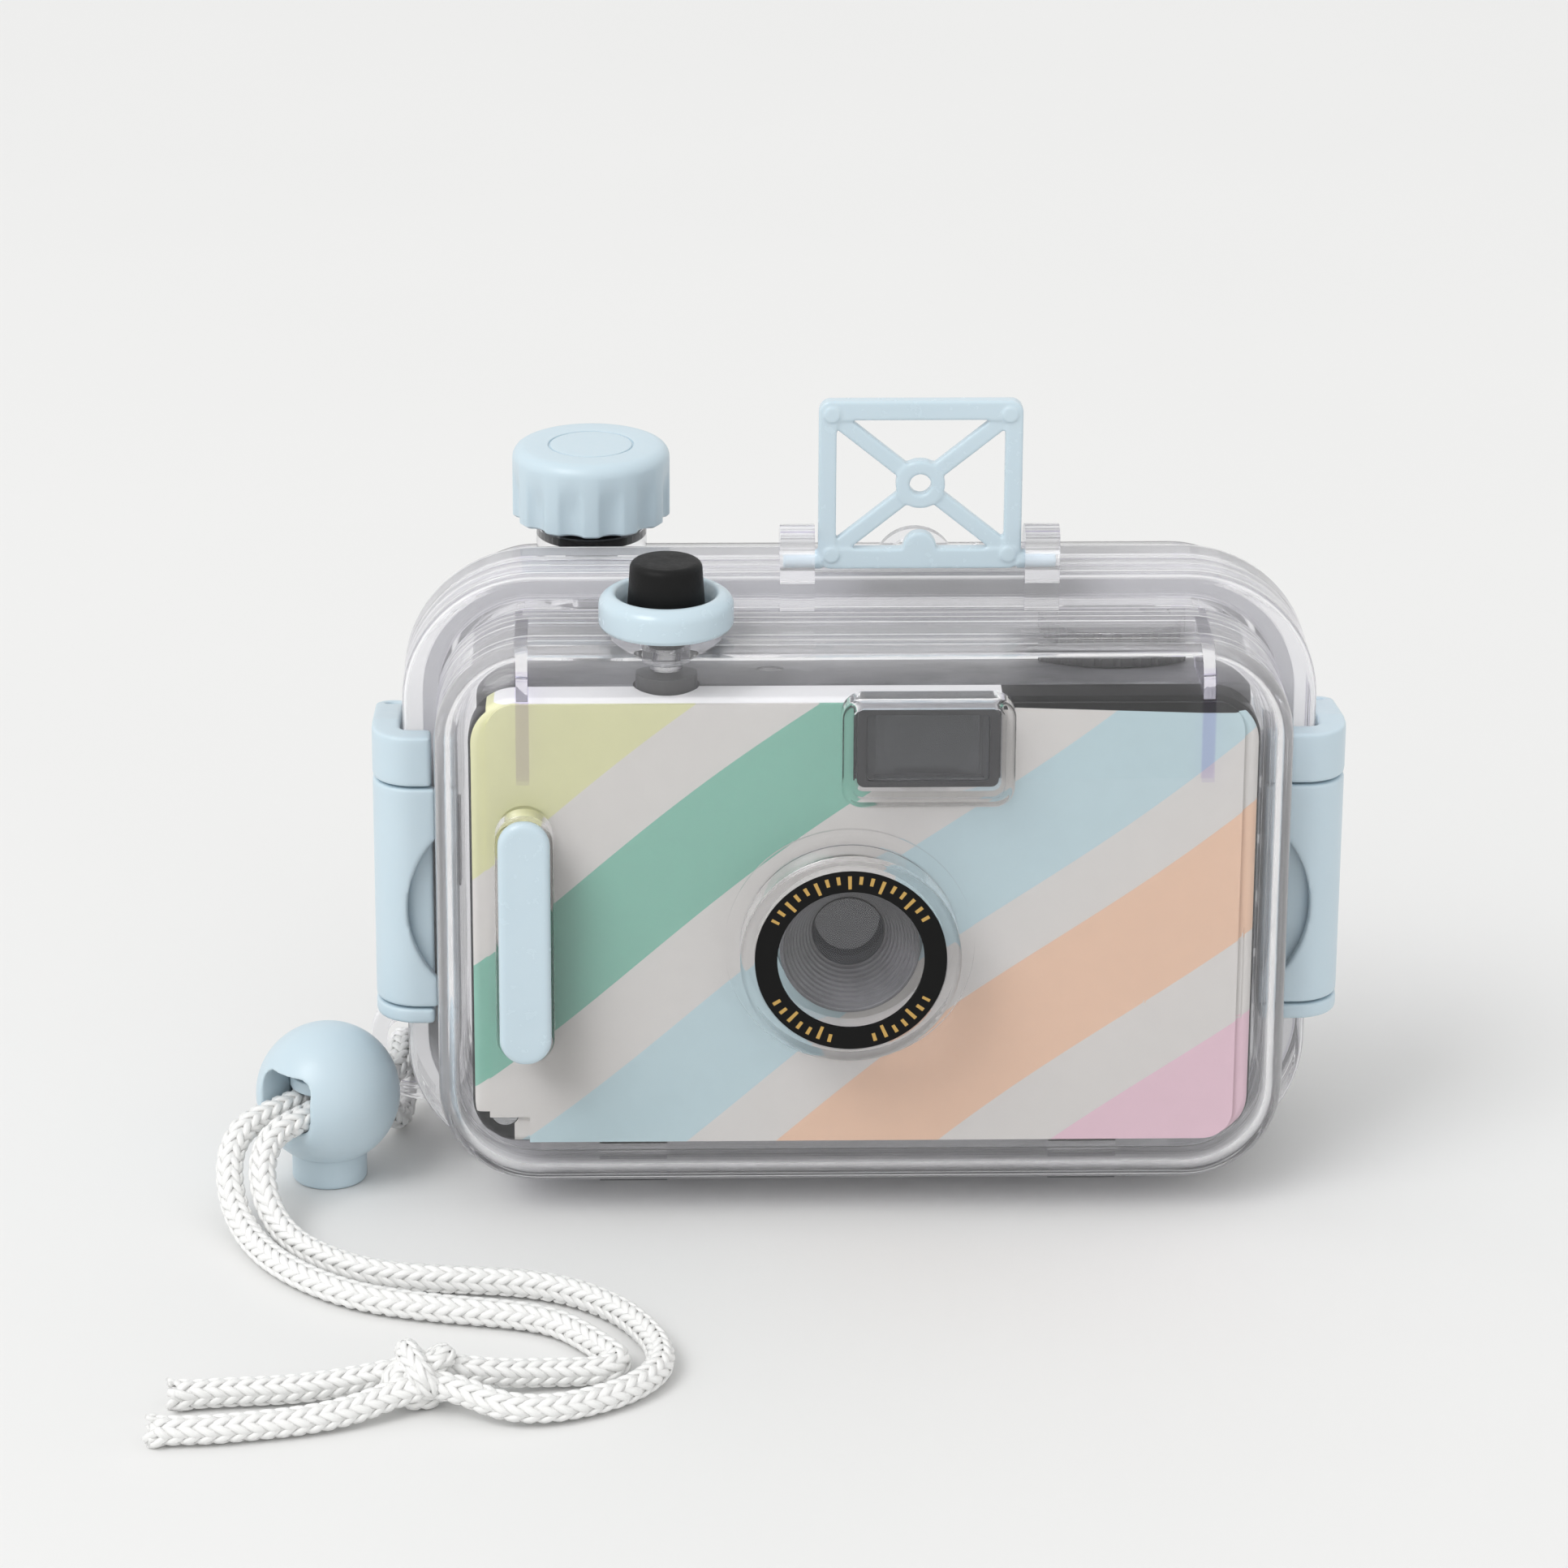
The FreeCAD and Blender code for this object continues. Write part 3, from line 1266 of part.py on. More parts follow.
def cord_lock_body():
    ball = Part.makeSphere(ball_diameter / 2, point(ball_x, ball_depth, ball_z))
    keep = lock_block(2 * ball_facet, ball_diameter + 2, ball_lift - 1, ball_top + 1, 0)
    ball = ball.common(keep)
    bore = lock_plunger_diameter / 2 + lock_bore_gap
    cuts = [
        lock_hole(2.2),
        rod_up(ball_x, ball_depth, bore, 0, bridge_high + lock_travel + gap),
        rod_up(ball_x, ball_depth, bore - 1.7, bridge_low, ball_top - 1.6),
    ]
    for cut in cuts:
        ball = ball.cut(cut)
    return ball.removeSplitter()


def cord_lock_plunger():
    plunger = rod_up(ball_x, ball_depth, lock_plunger_diameter / 2, 0, bridge_high)
    plunger = rounded(plunger, 0.5, at_height(0))
    slot_low = lock_cord_z - cord_diameter / 2 - 0.1 - lock_travel
    slot = lock_block(3 * ball_diameter, cord_spacing + cord_diameter + 0.5, slot_low,
                      bridge_low, 1.2)
    return plunger.cut(slot)


def cord_lock_spring():
    return coil_spring("cord_lock_spring", ball_x, ball_depth, 2.9, bridge_high, ball_top - 1.6,
                       3)


def strand_a_route():
    # The lower strand: from behind the lug, under its strip and through the lock.
    half = cord_spacing / 2
    return [
        (-61.3, -4.5, 7.2),
        (-61.3, -4.5, 5.2),
        (-61.4, -1.7, 2.3),
        (-61.9, 2.3, 2.1),
        (-63.1, 5.0, 4.3),
        (-64.4, 6.2, 8.3),
        (-66.4, 8.0, 11.35),
        lock_point(-4.5, half, lock_cord_z),
        lock_point(7.6, half + 0.03, lock_cord_z),
        (-81.5, 24.9, 11.1),
        (-83.1, 28.3, 8.9),
        (-83.1, 31.8, 6.2),
        (-82.0, 35.6, 3.4),
        (-79.9, 40.4, cord_low_z + 0.1),
        (-77.1, 46.0, cord_low_z),
        (-73.5, 50.9, cord_low_z),
        (-68.8, 55.4, cord_low_z),
        (-63.5, 58.7, cord_low_z),
        (-56.0, 61.1, cord_low_z),
        (-48.7, 62.6, cord_low_z),
        (-43.4, 63.9, cord_low_z),
        (-39.2, 66.2, cord_low_z),
        (-36.2, 69.9, cord_low_z),
        (-33.8, 73.4, cord_low_z),
        (-31.8, 76.6, cord_low_z),
        (-33.2, 79.2, cord_low_z),
        (-36.8, 79.7, cord_low_z),
        (-41.4, 80.2, cord_low_z + 0.2),
        (-46.7, 81.5, cord_low_z + 0.8),
        (-51.7, 82.3, cord_low_z + 1.8),
    ]


def strand_b_route():
    # The upper strand: from behind the lug, over its strip and through the lock.
    half = cord_spacing / 2
    return [
        (-61.3, -4.5, 7.2),
        (-61.25, -4.5, 9.2),
        (-61.2, -1.6, 12.3),
        (-61.2, 3.2, 12.9),
        (-61.6, 8.2, 12.0),
        lock_point(-6.0, -half, lock_cord_z),
        lock_point(6.8, -half - 0.03, lock_cord_z),
        (-77.6, 27.2, 10.9),
        (-78.9, 30.8, 8.4),
        (-78.4, 34.2, 5.6),
        (-76.8, 37.4, 3.2),
        (-74.4, 41.4, cord_low_z + 0.1),
        (-70.5, 46.0, cord_low_z),
        (-65.6, 49.9, cord_low_z),
        (-60.0, 52.0, cord_low_z),
        (-53.8, 52.9, cord_low_z),
        (-48.1, 53.5, cord_low_z),
        (-42.5, 54.6, cord_low_z),
        (-37.2, 57.2, cord_low_z),
        (-32.3, 61.7, cord_low_z),
        (-28.9, 67.4, cord_low_z),
        (-26.8, 73.2, cord_low_z),
        (-26.8, 79.2, cord_low_z),
        (-30.6, 84.7, cord_low_z),
        (-36.1, 88.3, cord_low_z),
        (-41.7, 90.4, cord_low_z + 0.2),
        (-46.7, 90.2, cord_low_z + 0.7),
        (-51.1, 87.6, cord_low_z + 1.5),
    ]


def end_a_route():
    return [
        (-60.9, 82.0, cord_low_z + 1.0),
        (-65.7, 82.7, cord_low_z + 0.3),
        (-72.8, 84.1, cord_low_z),
        (-80.2, 84.5, cord_low_z),
        (-87.0, 85.4, cord_low_z),
    ]


def end_b_route():
    return [
        (-59.9, 87.6, cord_low_z + 1.0),
        (-64.3, 90.1, cord_low_z + 0.3),
        (-70.0, 92.3, cord_low_z),
        (-76.6, 93.7, cord_low_z),
        (-83.1, 94.9, cord_low_z),
        (-89.0, 94.8, cord_low_z),
    ]


def cord_tube(name, route):
    # Straight runs joined by arcs, each as large as its two runs allow.
    corners = [point(x, depth, z) for x, depth, z in route]
    edges = []
    radii = []
    start = corners[0]
    for before, corner, after in zip(corners, corners[1:], corners[2:]):
        inward, outward = before - corner, after - corner
        shorter = min(inward.Length, outward.Length)
        inward.normalize()
        outward.normalize()
        half_turn = (math.pi - inward.getAngle(outward)) / 2
        reach = 0.45 * shorter
        radii.append(round(reach / math.tan(half_turn), 1))
        first, last = corner + inward * reach, corner + outward * reach
        bisector = inward + outward
        bisector.normalize()
        centre_distance = reach / math.tan(half_turn) / math.cos(half_turn)
        middle = corner + bisector * (centre_distance - reach / math.tan(half_turn))
        edges.append(Part.LineSegment(start, first).toShape())
        edges.append(Part.Arc(first, middle, last).toShape())
        start = last
    edges.append(Part.LineSegment(start, corners[-1]).toShape())
    path = Part.Wire(edges)
    section = Part.Wire(Part.makeCircle(cord_diameter / 2, corners[0], corners[1] - corners[0]))
    tube = path.makePipeShell([section], True, False)
    ideal = math.pi * cord_diameter ** 2 / 4 * path.Length
    print(name, "length", round(path.Length, 1), "volume ratio", round(tube.Volume / ideal, 4))
    print(name, "radii", radii)
    return tube


def cord_knot():
    ball = Part.makeSphere(1.0)
    stretch = FreeCAD.Matrix()
    stretch.scale(knot_width / 2, knot_length / 2, knot_height / 2)
    knot = ball.transformGeometry(stretch)
    knot.translate(point(knot_x, knot_depth, knot_height / 2 + cord_ground_gap))
    return knot


def cord_strand_a():
    return cord_tube("cord_strand_a", strand_a_route()).cut(cord_knot())


def cord_strand_b():
    return cord_tube("cord_strand_b", strand_b_route()).cut(cord_knot())


def cord_end_a():
    return cord_tube("cord_end_a", end_a_route()).cut(cord_knot())


def cord_end_b():
    return cord_tube("cord_end_b", end_b_route()).cut(cord_knot())


def node_shapes():
    # Every sub-part's name with the function that makes it.
    return {
        "front_shell": front_shell,
        "rear_shell": rear_shell,
        "shell_gasket": shell_gasket,
        "lens_port_window": lens_port_window,
        "lens_ring": lens_ring,
        "grip_bar": grip_bar,
        "wind_knob": wind_knob,
        "wind_knob_cap": wind_knob_cap,
        "wind_screw": wind_screw,
        "wind_shaft": wind_shaft,
        "wind_seal": wind_seal,
        "wind_pinion": wind_pinion,
        "thumb_wheel": thumb_wheel,
        "take_up_spool": take_up_spool,
        "sprocket_shaft": sprocket_shaft,
        "shutter_boot": shutter_boot,
        "shutter_collar": shutter_collar,
        "shutter_plunger": shutter_plunger,
        "shutter_spring": shutter_spring,
        "shutter_seal": shutter_seal,
        "sight_frame": sight_frame,
        "right_latch_frame": latch_frame,
        "right_latch_lever": latch_lever,
        "right_latch_pin": latch_pin,
        "right_lever_pin": lever_pin,
        "left_latch_frame": lambda: mirrored(latch_frame()),
        "left_latch_lever": lambda: mirrored(latch_lever()),
        "left_latch_pin": lambda: mirrored(latch_pin()),
        "left_lever_pin": lambda: mirrored(lever_pin()),
        "camera_body": camera_body,
        "camera_front_cover": camera_front_cover,
        "body_screws": body_screws,
        "print_panel": print_panel,
        "camera_top_cover": camera_top_cover,
        "camera_back_door": camera_back_door,
        "door_hinge_pin": door_hinge_pin,
        "pressure_plate": pressure_plate,
        "film_cassette": film_cassette,
        "finder_frame": finder_frame,
        "finder_front_lens": finder_front_lens,
        "finder_eyepiece": finder_eyepiece,
        "lens_cone": lens_cone,
        "front_lens_element": front_lens_element,
        "rear_lens_element": rear_lens_element,
        "aperture_plate": aperture_plate,
        "shutter_blade": shutter_blade,
        "camera_shutter_button": camera_shutter_button,
        "counter_dial": counter_dial,
        "counter_window": counter_window,
        "rewind_knob": rewind_knob,
        "rewind_crank": rewind_crank,
        "rewind_fork": rewind_fork,
        "cord_lock_body": cord_lock_body,
        "cord_lock_plunger": cord_lock_plunger,
        "cord_lock_spring": cord_lock_spring,
        "cord_strand_a": cord_strand_a,
        "cord_strand_b": cord_strand_b,
        "cord_knot": cord_knot,
        "cord_end_a": cord_end_a,
        "cord_end_b": cord_end_b,
    }


for node, make in node_shapes().items():
    shape = make()
    solids = shape.Solids
    print(node, len(solids), "solid", round(shape.Volume, 1), "valid", shape.isValid(),
          [round(value, 1) for value in (shape.BoundBox.XMin, shape.BoundBox.XMax,
                                         shape.BoundBox.YMin, shape.BoundBox.YMax,
                                         shape.BoundBox.ZMin, shape.BoundBox.ZMax)])
    shape.exportStep(os.path.join("parts", node + ".step"))
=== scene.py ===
import bpy
import math
import random
from mathutils import Matrix, Quaternion, Vector


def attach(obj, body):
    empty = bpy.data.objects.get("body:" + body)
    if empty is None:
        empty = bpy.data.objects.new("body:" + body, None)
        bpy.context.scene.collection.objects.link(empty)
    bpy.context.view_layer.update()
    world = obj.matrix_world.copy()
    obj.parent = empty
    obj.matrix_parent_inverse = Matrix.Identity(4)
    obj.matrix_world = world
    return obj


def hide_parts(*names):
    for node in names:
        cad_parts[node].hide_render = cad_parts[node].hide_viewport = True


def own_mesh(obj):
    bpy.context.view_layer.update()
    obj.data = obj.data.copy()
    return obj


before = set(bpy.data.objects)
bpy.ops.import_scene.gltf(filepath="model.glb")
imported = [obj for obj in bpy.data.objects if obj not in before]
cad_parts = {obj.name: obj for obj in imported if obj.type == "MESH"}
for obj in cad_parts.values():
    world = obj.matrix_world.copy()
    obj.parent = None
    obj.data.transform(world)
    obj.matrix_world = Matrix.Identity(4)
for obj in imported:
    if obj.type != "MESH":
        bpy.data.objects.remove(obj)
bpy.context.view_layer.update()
mm = 0.001
rimBackY = 9.15  # the rim's rear plane; depths are counted forwards from it, in mm


def place(x, depth, z):
    return Vector((x, rimBackY - depth, z)) * mm


def planeY(depth):
    return place(0, depth, 0).y


# the photo's view, the floor and the light
photoView = {"aimX": -9.6, "aimZ": 49.6, "elevation": 21.0, "turn": 1.6, "roll": 0.3,
             "distance": 815.0, "lens": 139.7, "sensor": 36, "near": 0.01, "far": 20}


def addCamera():
    aim = place(photoView["aimX"], 0, photoView["aimZ"])
    up, turn = math.radians(photoView["elevation"]), math.radians(photoView["turn"])
    level = math.cos(up)
    back = Vector((-math.sin(turn) * level, -math.cos(turn) * level, math.sin(up)))
    bpy.ops.object.camera_add(location=aim + back * photoView["distance"] * mm)
    camera = bpy.context.object
    camera.name = "photoCamera"
    camera.data.lens, camera.data.sensor_width = photoView["lens"], photoView["sensor"]
    camera.data.clip_start, camera.data.clip_end = photoView["near"], photoView["far"]
    camera.rotation_mode = "QUATERNION"
    roll = Quaternion((0, 0, 1), math.radians(photoView["roll"]))
    camera.rotation_quaternion = (-back).to_track_quat("-Z", "Y") @ roll
    bpy.context.scene.camera = camera
    print("camera in place")


# the floor's, wall's and lamps' lengths and places are in metres
studio = {"floorColour": (0.81, 0.81, 0.805), "floorSize": 24.0, "floorY": 0.6, "farY": 3.0,
          "wallHeight": 3.0, "bend": 1.2, "bendSteps": 24, "skyColour": (1.0, 1.0, 0.995),
          "skySeen": 0.95, "skyLight": 0.825, "sunPlace": (-1.0, -0.5, 2.0),
          "sunTurn": (38.0, 0.0, -52.0), "sunPower": 0.72, "sunSoft": 30.0,
          "fillPlace": (-0.75, -0.9, 1.1), "fillSize": 0.7, "fillPower": 4.2,
          "fillAim": (-10, 20, 40)}


def addFloor():
    # the floor's far edge goes up in a wide bend
    bpy.ops.mesh.primitive_plane_add(size=1, location=(0, 0, 0))
    floor = bpy.context.object
    floor.name = "studioFloor"
    floor.scale = (studio["floorSize"], studio["floorSize"], 1)
    floor.location = (0, studio["floorY"], 0)
    bpy.ops.object.transform_apply(location=True, rotation=True, scale=True)
    bpy.ops.object.mode_set(mode="EDIT")
    bpy.ops.mesh.select_mode(type="EDGE")
    bpy.ops.mesh.select_all(action="DESELECT")
    bpy.ops.object.mode_set(mode="OBJECT")
    for edge in floor.data.edges:
        edge.select = all(floor.data.vertices[v].co.y > studio["farY"] for v in edge.vertices)
    bpy.ops.object.mode_set(mode="EDIT")
    bpy.ops.mesh.extrude_region_move(
        TRANSFORM_OT_translate={"value": (0, 0, studio["wallHeight"])})
    bpy.ops.object.mode_set(mode="OBJECT")
    bend = floor.modifiers.new("sweep", "BEVEL")
    bend.width, bend.segments, bend.limit_method = studio["bend"], studio["bendSteps"], "ANGLE"
    bpy.ops.object.modifier_apply(modifier="sweep")
    bpy.ops.object.shade_smooth()
    floor.data.materials.append(floorPaper())
    print("floor in place")


def addLight():
    bpy.ops.object.light_add(type="SUN", location=studio["sunPlace"])
    sun = bpy.context.object
    sun.name = "softSun"
    sun.rotation_euler = [math.radians(turn) for turn in studio["sunTurn"]]
    sun.data.energy, sun.data.angle = studio["sunPower"], math.radians(studio["sunSoft"])
    bpy.ops.object.light_add(type="AREA", location=studio["fillPlace"])
    lamp = bpy.context.object
    lamp.name = "fillLamp"
    lamp.data.size, lamp.data.energy = studio["fillSize"], studio["fillPower"]
    aim = place(*studio["fillAim"]) - lamp.location
    lamp.rotation_euler = aim.to_track_quat("-Z", "Y").to_euler()
    world = bpy.data.worlds.new("studioSky")
    bpy.context.scene.world = world
    world.use_nodes = True
    tree = world.node_tree
    path = tree.nodes.new("ShaderNodeLightPath")
    seen = path.outputs["Is Camera Ray"]
    for kind in ("Is Glossy Ray", "Is Transmission Ray"):
        seen = calc(tree, "MAXIMUM", seen, path.outputs[kind])
    strength = calc(tree, "MULTIPLY_ADD", seen, studio["skySeen"] - studio["skyLight"],
                    studio["skyLight"])
    setSockets(tree, tree.nodes["Background"], Color=studio["skyColour"], Strength=strength)
    bpy.context.scene.view_settings.view_transform = "Standard"
    print("light in place")


# shader nodes: each helper adds one to a tree and gives back its output
def calc(tree, operation, *values):
    node = tree.nodes.new("ShaderNodeMath")
    node.operation = operation
    for socket, value in zip(node.inputs, values):
        feed(tree, socket, value)
    return node.outputs[0]


def feed(tree, socket, value):
    if isinstance(value, bpy.types.NodeSocket):
        tree.links.new(value, socket)
    else:
        socket.default_value = (*value, 1) if socket.type == "RGBA" else value


def setSockets(tree, node, **values):
    for name, value in values.items():
        feed(tree, node.inputs[name.replace("_", " ")], value)


def newMaterial(name):
    material = bpy.data.materials.new(name)
    material.use_nodes = True
    tree = material.node_tree
    return material, tree, tree.nodes["Principled BSDF"]


def objectPlace(tree):
    return tree.nodes.new("ShaderNodeTexCoord").outputs["Object"]


def axes(tree, vector):
    node = tree.nodes.new("ShaderNodeSeparateXYZ")
    tree.links.new(vector, node.inputs[0])
    return node.outputs


def noise(tree, where, scale, detail=3.0, rough=0.5, stretch=None):
    if stretch:
        mapping = tree.nodes.new("ShaderNodeMapping")
        setSockets(tree, mapping, Vector=where, Scale=stretch)
        where = mapping.outputs["Vector"]
    node = tree.nodes.new("ShaderNodeTexNoise")
    setSockets(tree, node, Vector=where, Scale=scale, Detail=detail, Roughness=rough)
    return node.outputs["Fac"]


def ramp(tree, value, stops, kind="LINEAR"):
    node = tree.nodes.new("ShaderNodeValToRGB")
    node.color_ramp.interpolation = kind
    while len(node.color_ramp.elements) < len(stops):
        node.color_ramp.elements.new(1.0)
    for element, (where, colour) in zip(node.color_ramp.elements, stops):
        element.position = where
        element.color = (*colour, 1)
    tree.links.new(value, node.inputs["Fac"])
    return node.outputs["Color"]


def span(tree, value, low, high, first, last):
    node = tree.nodes.new("ShaderNodeMapRange")
    for socket, number in zip(node.inputs[:5], (value, low, high, first, last)):
        feed(tree, socket, number)
    return node.outputs["Result"]


noiseEnds = (0.3, 0.7)  # most of a noise's values lie between these


def mottled(tree, spots, low, high):
    return ramp(tree, spots, list(zip(noiseEnds, (low, high))))


def spread(tree, spots, low, high):
    return span(tree, spots, *noiseEnds, low, high)


def bump(tree, shader, height, strength, distance, after=None):
    node = tree.nodes.new("ShaderNodeBump")
    setSockets(tree, node, Strength=strength, Distance=distance, Height=height)
    if after:
        tree.links.new(after, node.inputs["Normal"])
    tree.links.new(node.outputs["Normal"], shader.inputs["Normal"])
    return node.outputs["Normal"]


def mixColour(tree, factor, first, second, blend="MIX"):
    node = tree.nodes.new("ShaderNodeMix")
    node.data_type, node.blend_type = "RGBA", blend
    setSockets(tree, node, Factor=factor, A=first, B=second)
    return node.outputs["Result"]


def allOf(tree, first, *others):
    for other in others:
        first = calc(tree, "MULTIPLY", first, other)
    return first


def lengthOf(tree, dx, dz):
    square = calc(tree, "ADD", calc(tree, "MULTIPLY", dx, dx), calc(tree, "MULTIPLY", dz, dz))
    return calc(tree, "SQRT", square)


def facesFront(tree):
    # 1 where the surface looks forwards or backwards, 0 on the walls round it
    normal = tree.nodes.new("ShaderNodeNewGeometry").outputs["Normal"]
    return span(tree, calc(tree, "ABSOLUTE", axes(tree, normal)[1]), 0.55, 0.85, 0.0, 1.0)


def darker(colour, share):
    return tuple(share * part for part in colour)


def floorPaper():
    material, tree, shader = newMaterial("floorPaper")
    where, pale = objectPlace(tree), studio["floorColour"]
    tone = mottled(tree, noise(tree, where, 9.0), darker(pale, 0.99), pale)
    setSockets(tree, shader, Base_Color=tone, Roughness=0.62, Specular_IOR_Level=0.25)
    bump(tree, shader, noise(tree, where, 900.0, 2.0), 0.03, 0.0004)
    return material


# the hand cord, its lock's place and its frayed ends
cord = {"diameter": 3.8, "lead": 15.2, "yarns": 8, "step": 0.5, "yarnWide": 0.56,
        "yarnThick": 0.33, "yarnCorners": 6, "middle": 1.32, "swing": 0.24, "steep": 1.9,
        "core": 1.12, "coreCorners": 8, "seed": 7, "groundZ": 2.0, "spacing": 4.1,
        "lockX": -70.66, "lockDepth": 16.4, "lockTurn": 41.6, "lockZ": 11.45,
        "frayLength": 3.2, "frayOut": 0.32, "frayTurn": 0.35, "fraySlip": 0.9,
        "frayDrop": 0.25}


def inLock(along, side):
    turn = math.radians(cord["lockTurn"])
    return (cord["lockX"] - along * math.sin(turn) - side * math.cos(turn),
            cord["lockDepth"] + along * math.cos(turn) - side * math.sin(turn), cord["lockZ"])


def cordRoutes():
    half, low = cord["spacing"] / 2, cord["groundZ"]
    lower = [(-61.3, -4.5, 7.2), (-61.3, -4.5, 5.2), (-61.4, -1.7, 2.3), (-61.9, 2.3, 2.1),
             (-63.1, 5.0, 4.3), (-64.4, 6.2, 8.3), (-66.4, 8.0, 11.35), inLock(-4.5, half),
             inLock(7.6, half + 0.03), (-81.5, 24.9, 11.1), (-83.1, 28.3, 8.9),
             (-83.1, 31.8, 6.2), (-82.0, 35.6, 3.4), (-79.9, 40.4, low + 0.1),
             (-77.1, 46.0, low), (-73.5, 50.9, low), (-68.8, 55.4, low), (-63.5, 58.7, low),
             (-56.0, 61.1, low), (-48.7, 62.6, low), (-43.4, 63.9, low), (-39.2, 66.2, low),
             (-36.2, 69.9, low), (-33.8, 73.4, low), (-31.8, 76.6, low), (-33.2, 79.2, low),
             (-36.8, 79.7, low), (-41.4, 80.2, low + 0.2), (-46.7, 81.5, low + 0.8),
             (-51.7, 82.3, low + 1.8), (-56.2, 82.6, low + 2.2), (-60.9, 82.0, low + 1.0),
             (-65.7, 82.7, low + 0.3), (-72.8, 84.1, low), (-80.2, 84.5, low),
             (-87.0, 85.4, low)]
    upper = [(-61.3, -4.5, 7.2), (-61.25, -4.5, 9.2), (-61.2, -1.6, 12.3), (-61.2, 3.2, 12.9),
             (-61.6, 8.2, 12.0), inLock(-6.0, -half), inLock(6.8, -half - 0.03),
             (-77.6, 27.2, 10.9), (-78.9, 30.8, 8.4), (-78.4, 34.2, 5.6), (-76.8, 37.4, 3.2),
             (-74.4, 41.4, low + 0.1), (-70.5, 46.0, low), (-65.6, 49.9, low),
             (-60.0, 52.0, low), (-53.8, 52.9, low), (-48.1, 53.5, low), (-42.5, 54.6, low),
             (-37.2, 57.2, low), (-32.3, 61.7, low), (-28.9, 67.4, low), (-26.8, 73.2, low),
             (-26.8, 79.2, low), (-30.6, 84.7, low), (-36.1, 88.3, low),
             (-41.7, 90.4, low + 0.2), (-46.7, 90.2, low + 0.7), (-51.1, 87.6, low + 1.5),
             (-55.4, 86.4, low + 2.0), (-59.9, 87.6, low + 1.0), (-64.3, 90.1, low + 0.3),
             (-70.0, 92.3, low), (-76.6, 93.7, low), (-83.1, 94.9, low), (-89.0, 94.8, low)]
    return lower, upper


def splineLine(points, closed=False):
    curve = bpy.data.curves.new("route", "CURVE")
    curve.dimensions = "3D"
    spline = curve.splines.new("NURBS")
    spline.points.add(len(points) - 1)
    for spot, point in zip(spline.points, points):
        spot.co = (*point, 1)
    spline.order_u = 3
    spline.use_endpoint_u = not closed
    spline.use_cyclic_u = closed
    spline.resolution_u = 16
    guide = bpy.data.objects.new("route", curve)
    bpy.context.scene.collection.objects.link(guide)
    mesh = bpy.data.meshes.new_from_object(guide)
    line = [vertex.co.copy() for vertex in mesh.vertices]
    bpy.data.objects.remove(guide)
    bpy.data.meshes.remove(mesh)
    return line + [line[0].copy()] if closed else line


def evenLine(line, step):
    lengths = [0.0]
    for first, last in zip(line, line[1:]):
        lengths.append(lengths[-1] + (last - first).length)
    count = max(8, round(lengths[-1] / step))
    even, at = [], 0
    for index in range(count + 1):
        want = lengths[-1] * index / count
        while at < len(line) - 2 and lengths[at + 1] < want:
            at += 1
        share = (want - lengths[at]) / max(lengths[at + 1] - lengths[at], 1e-12)
        even.append(line[at].lerp(line[at + 1], min(max(share, 0), 1)))
    return even, lengths[-1]


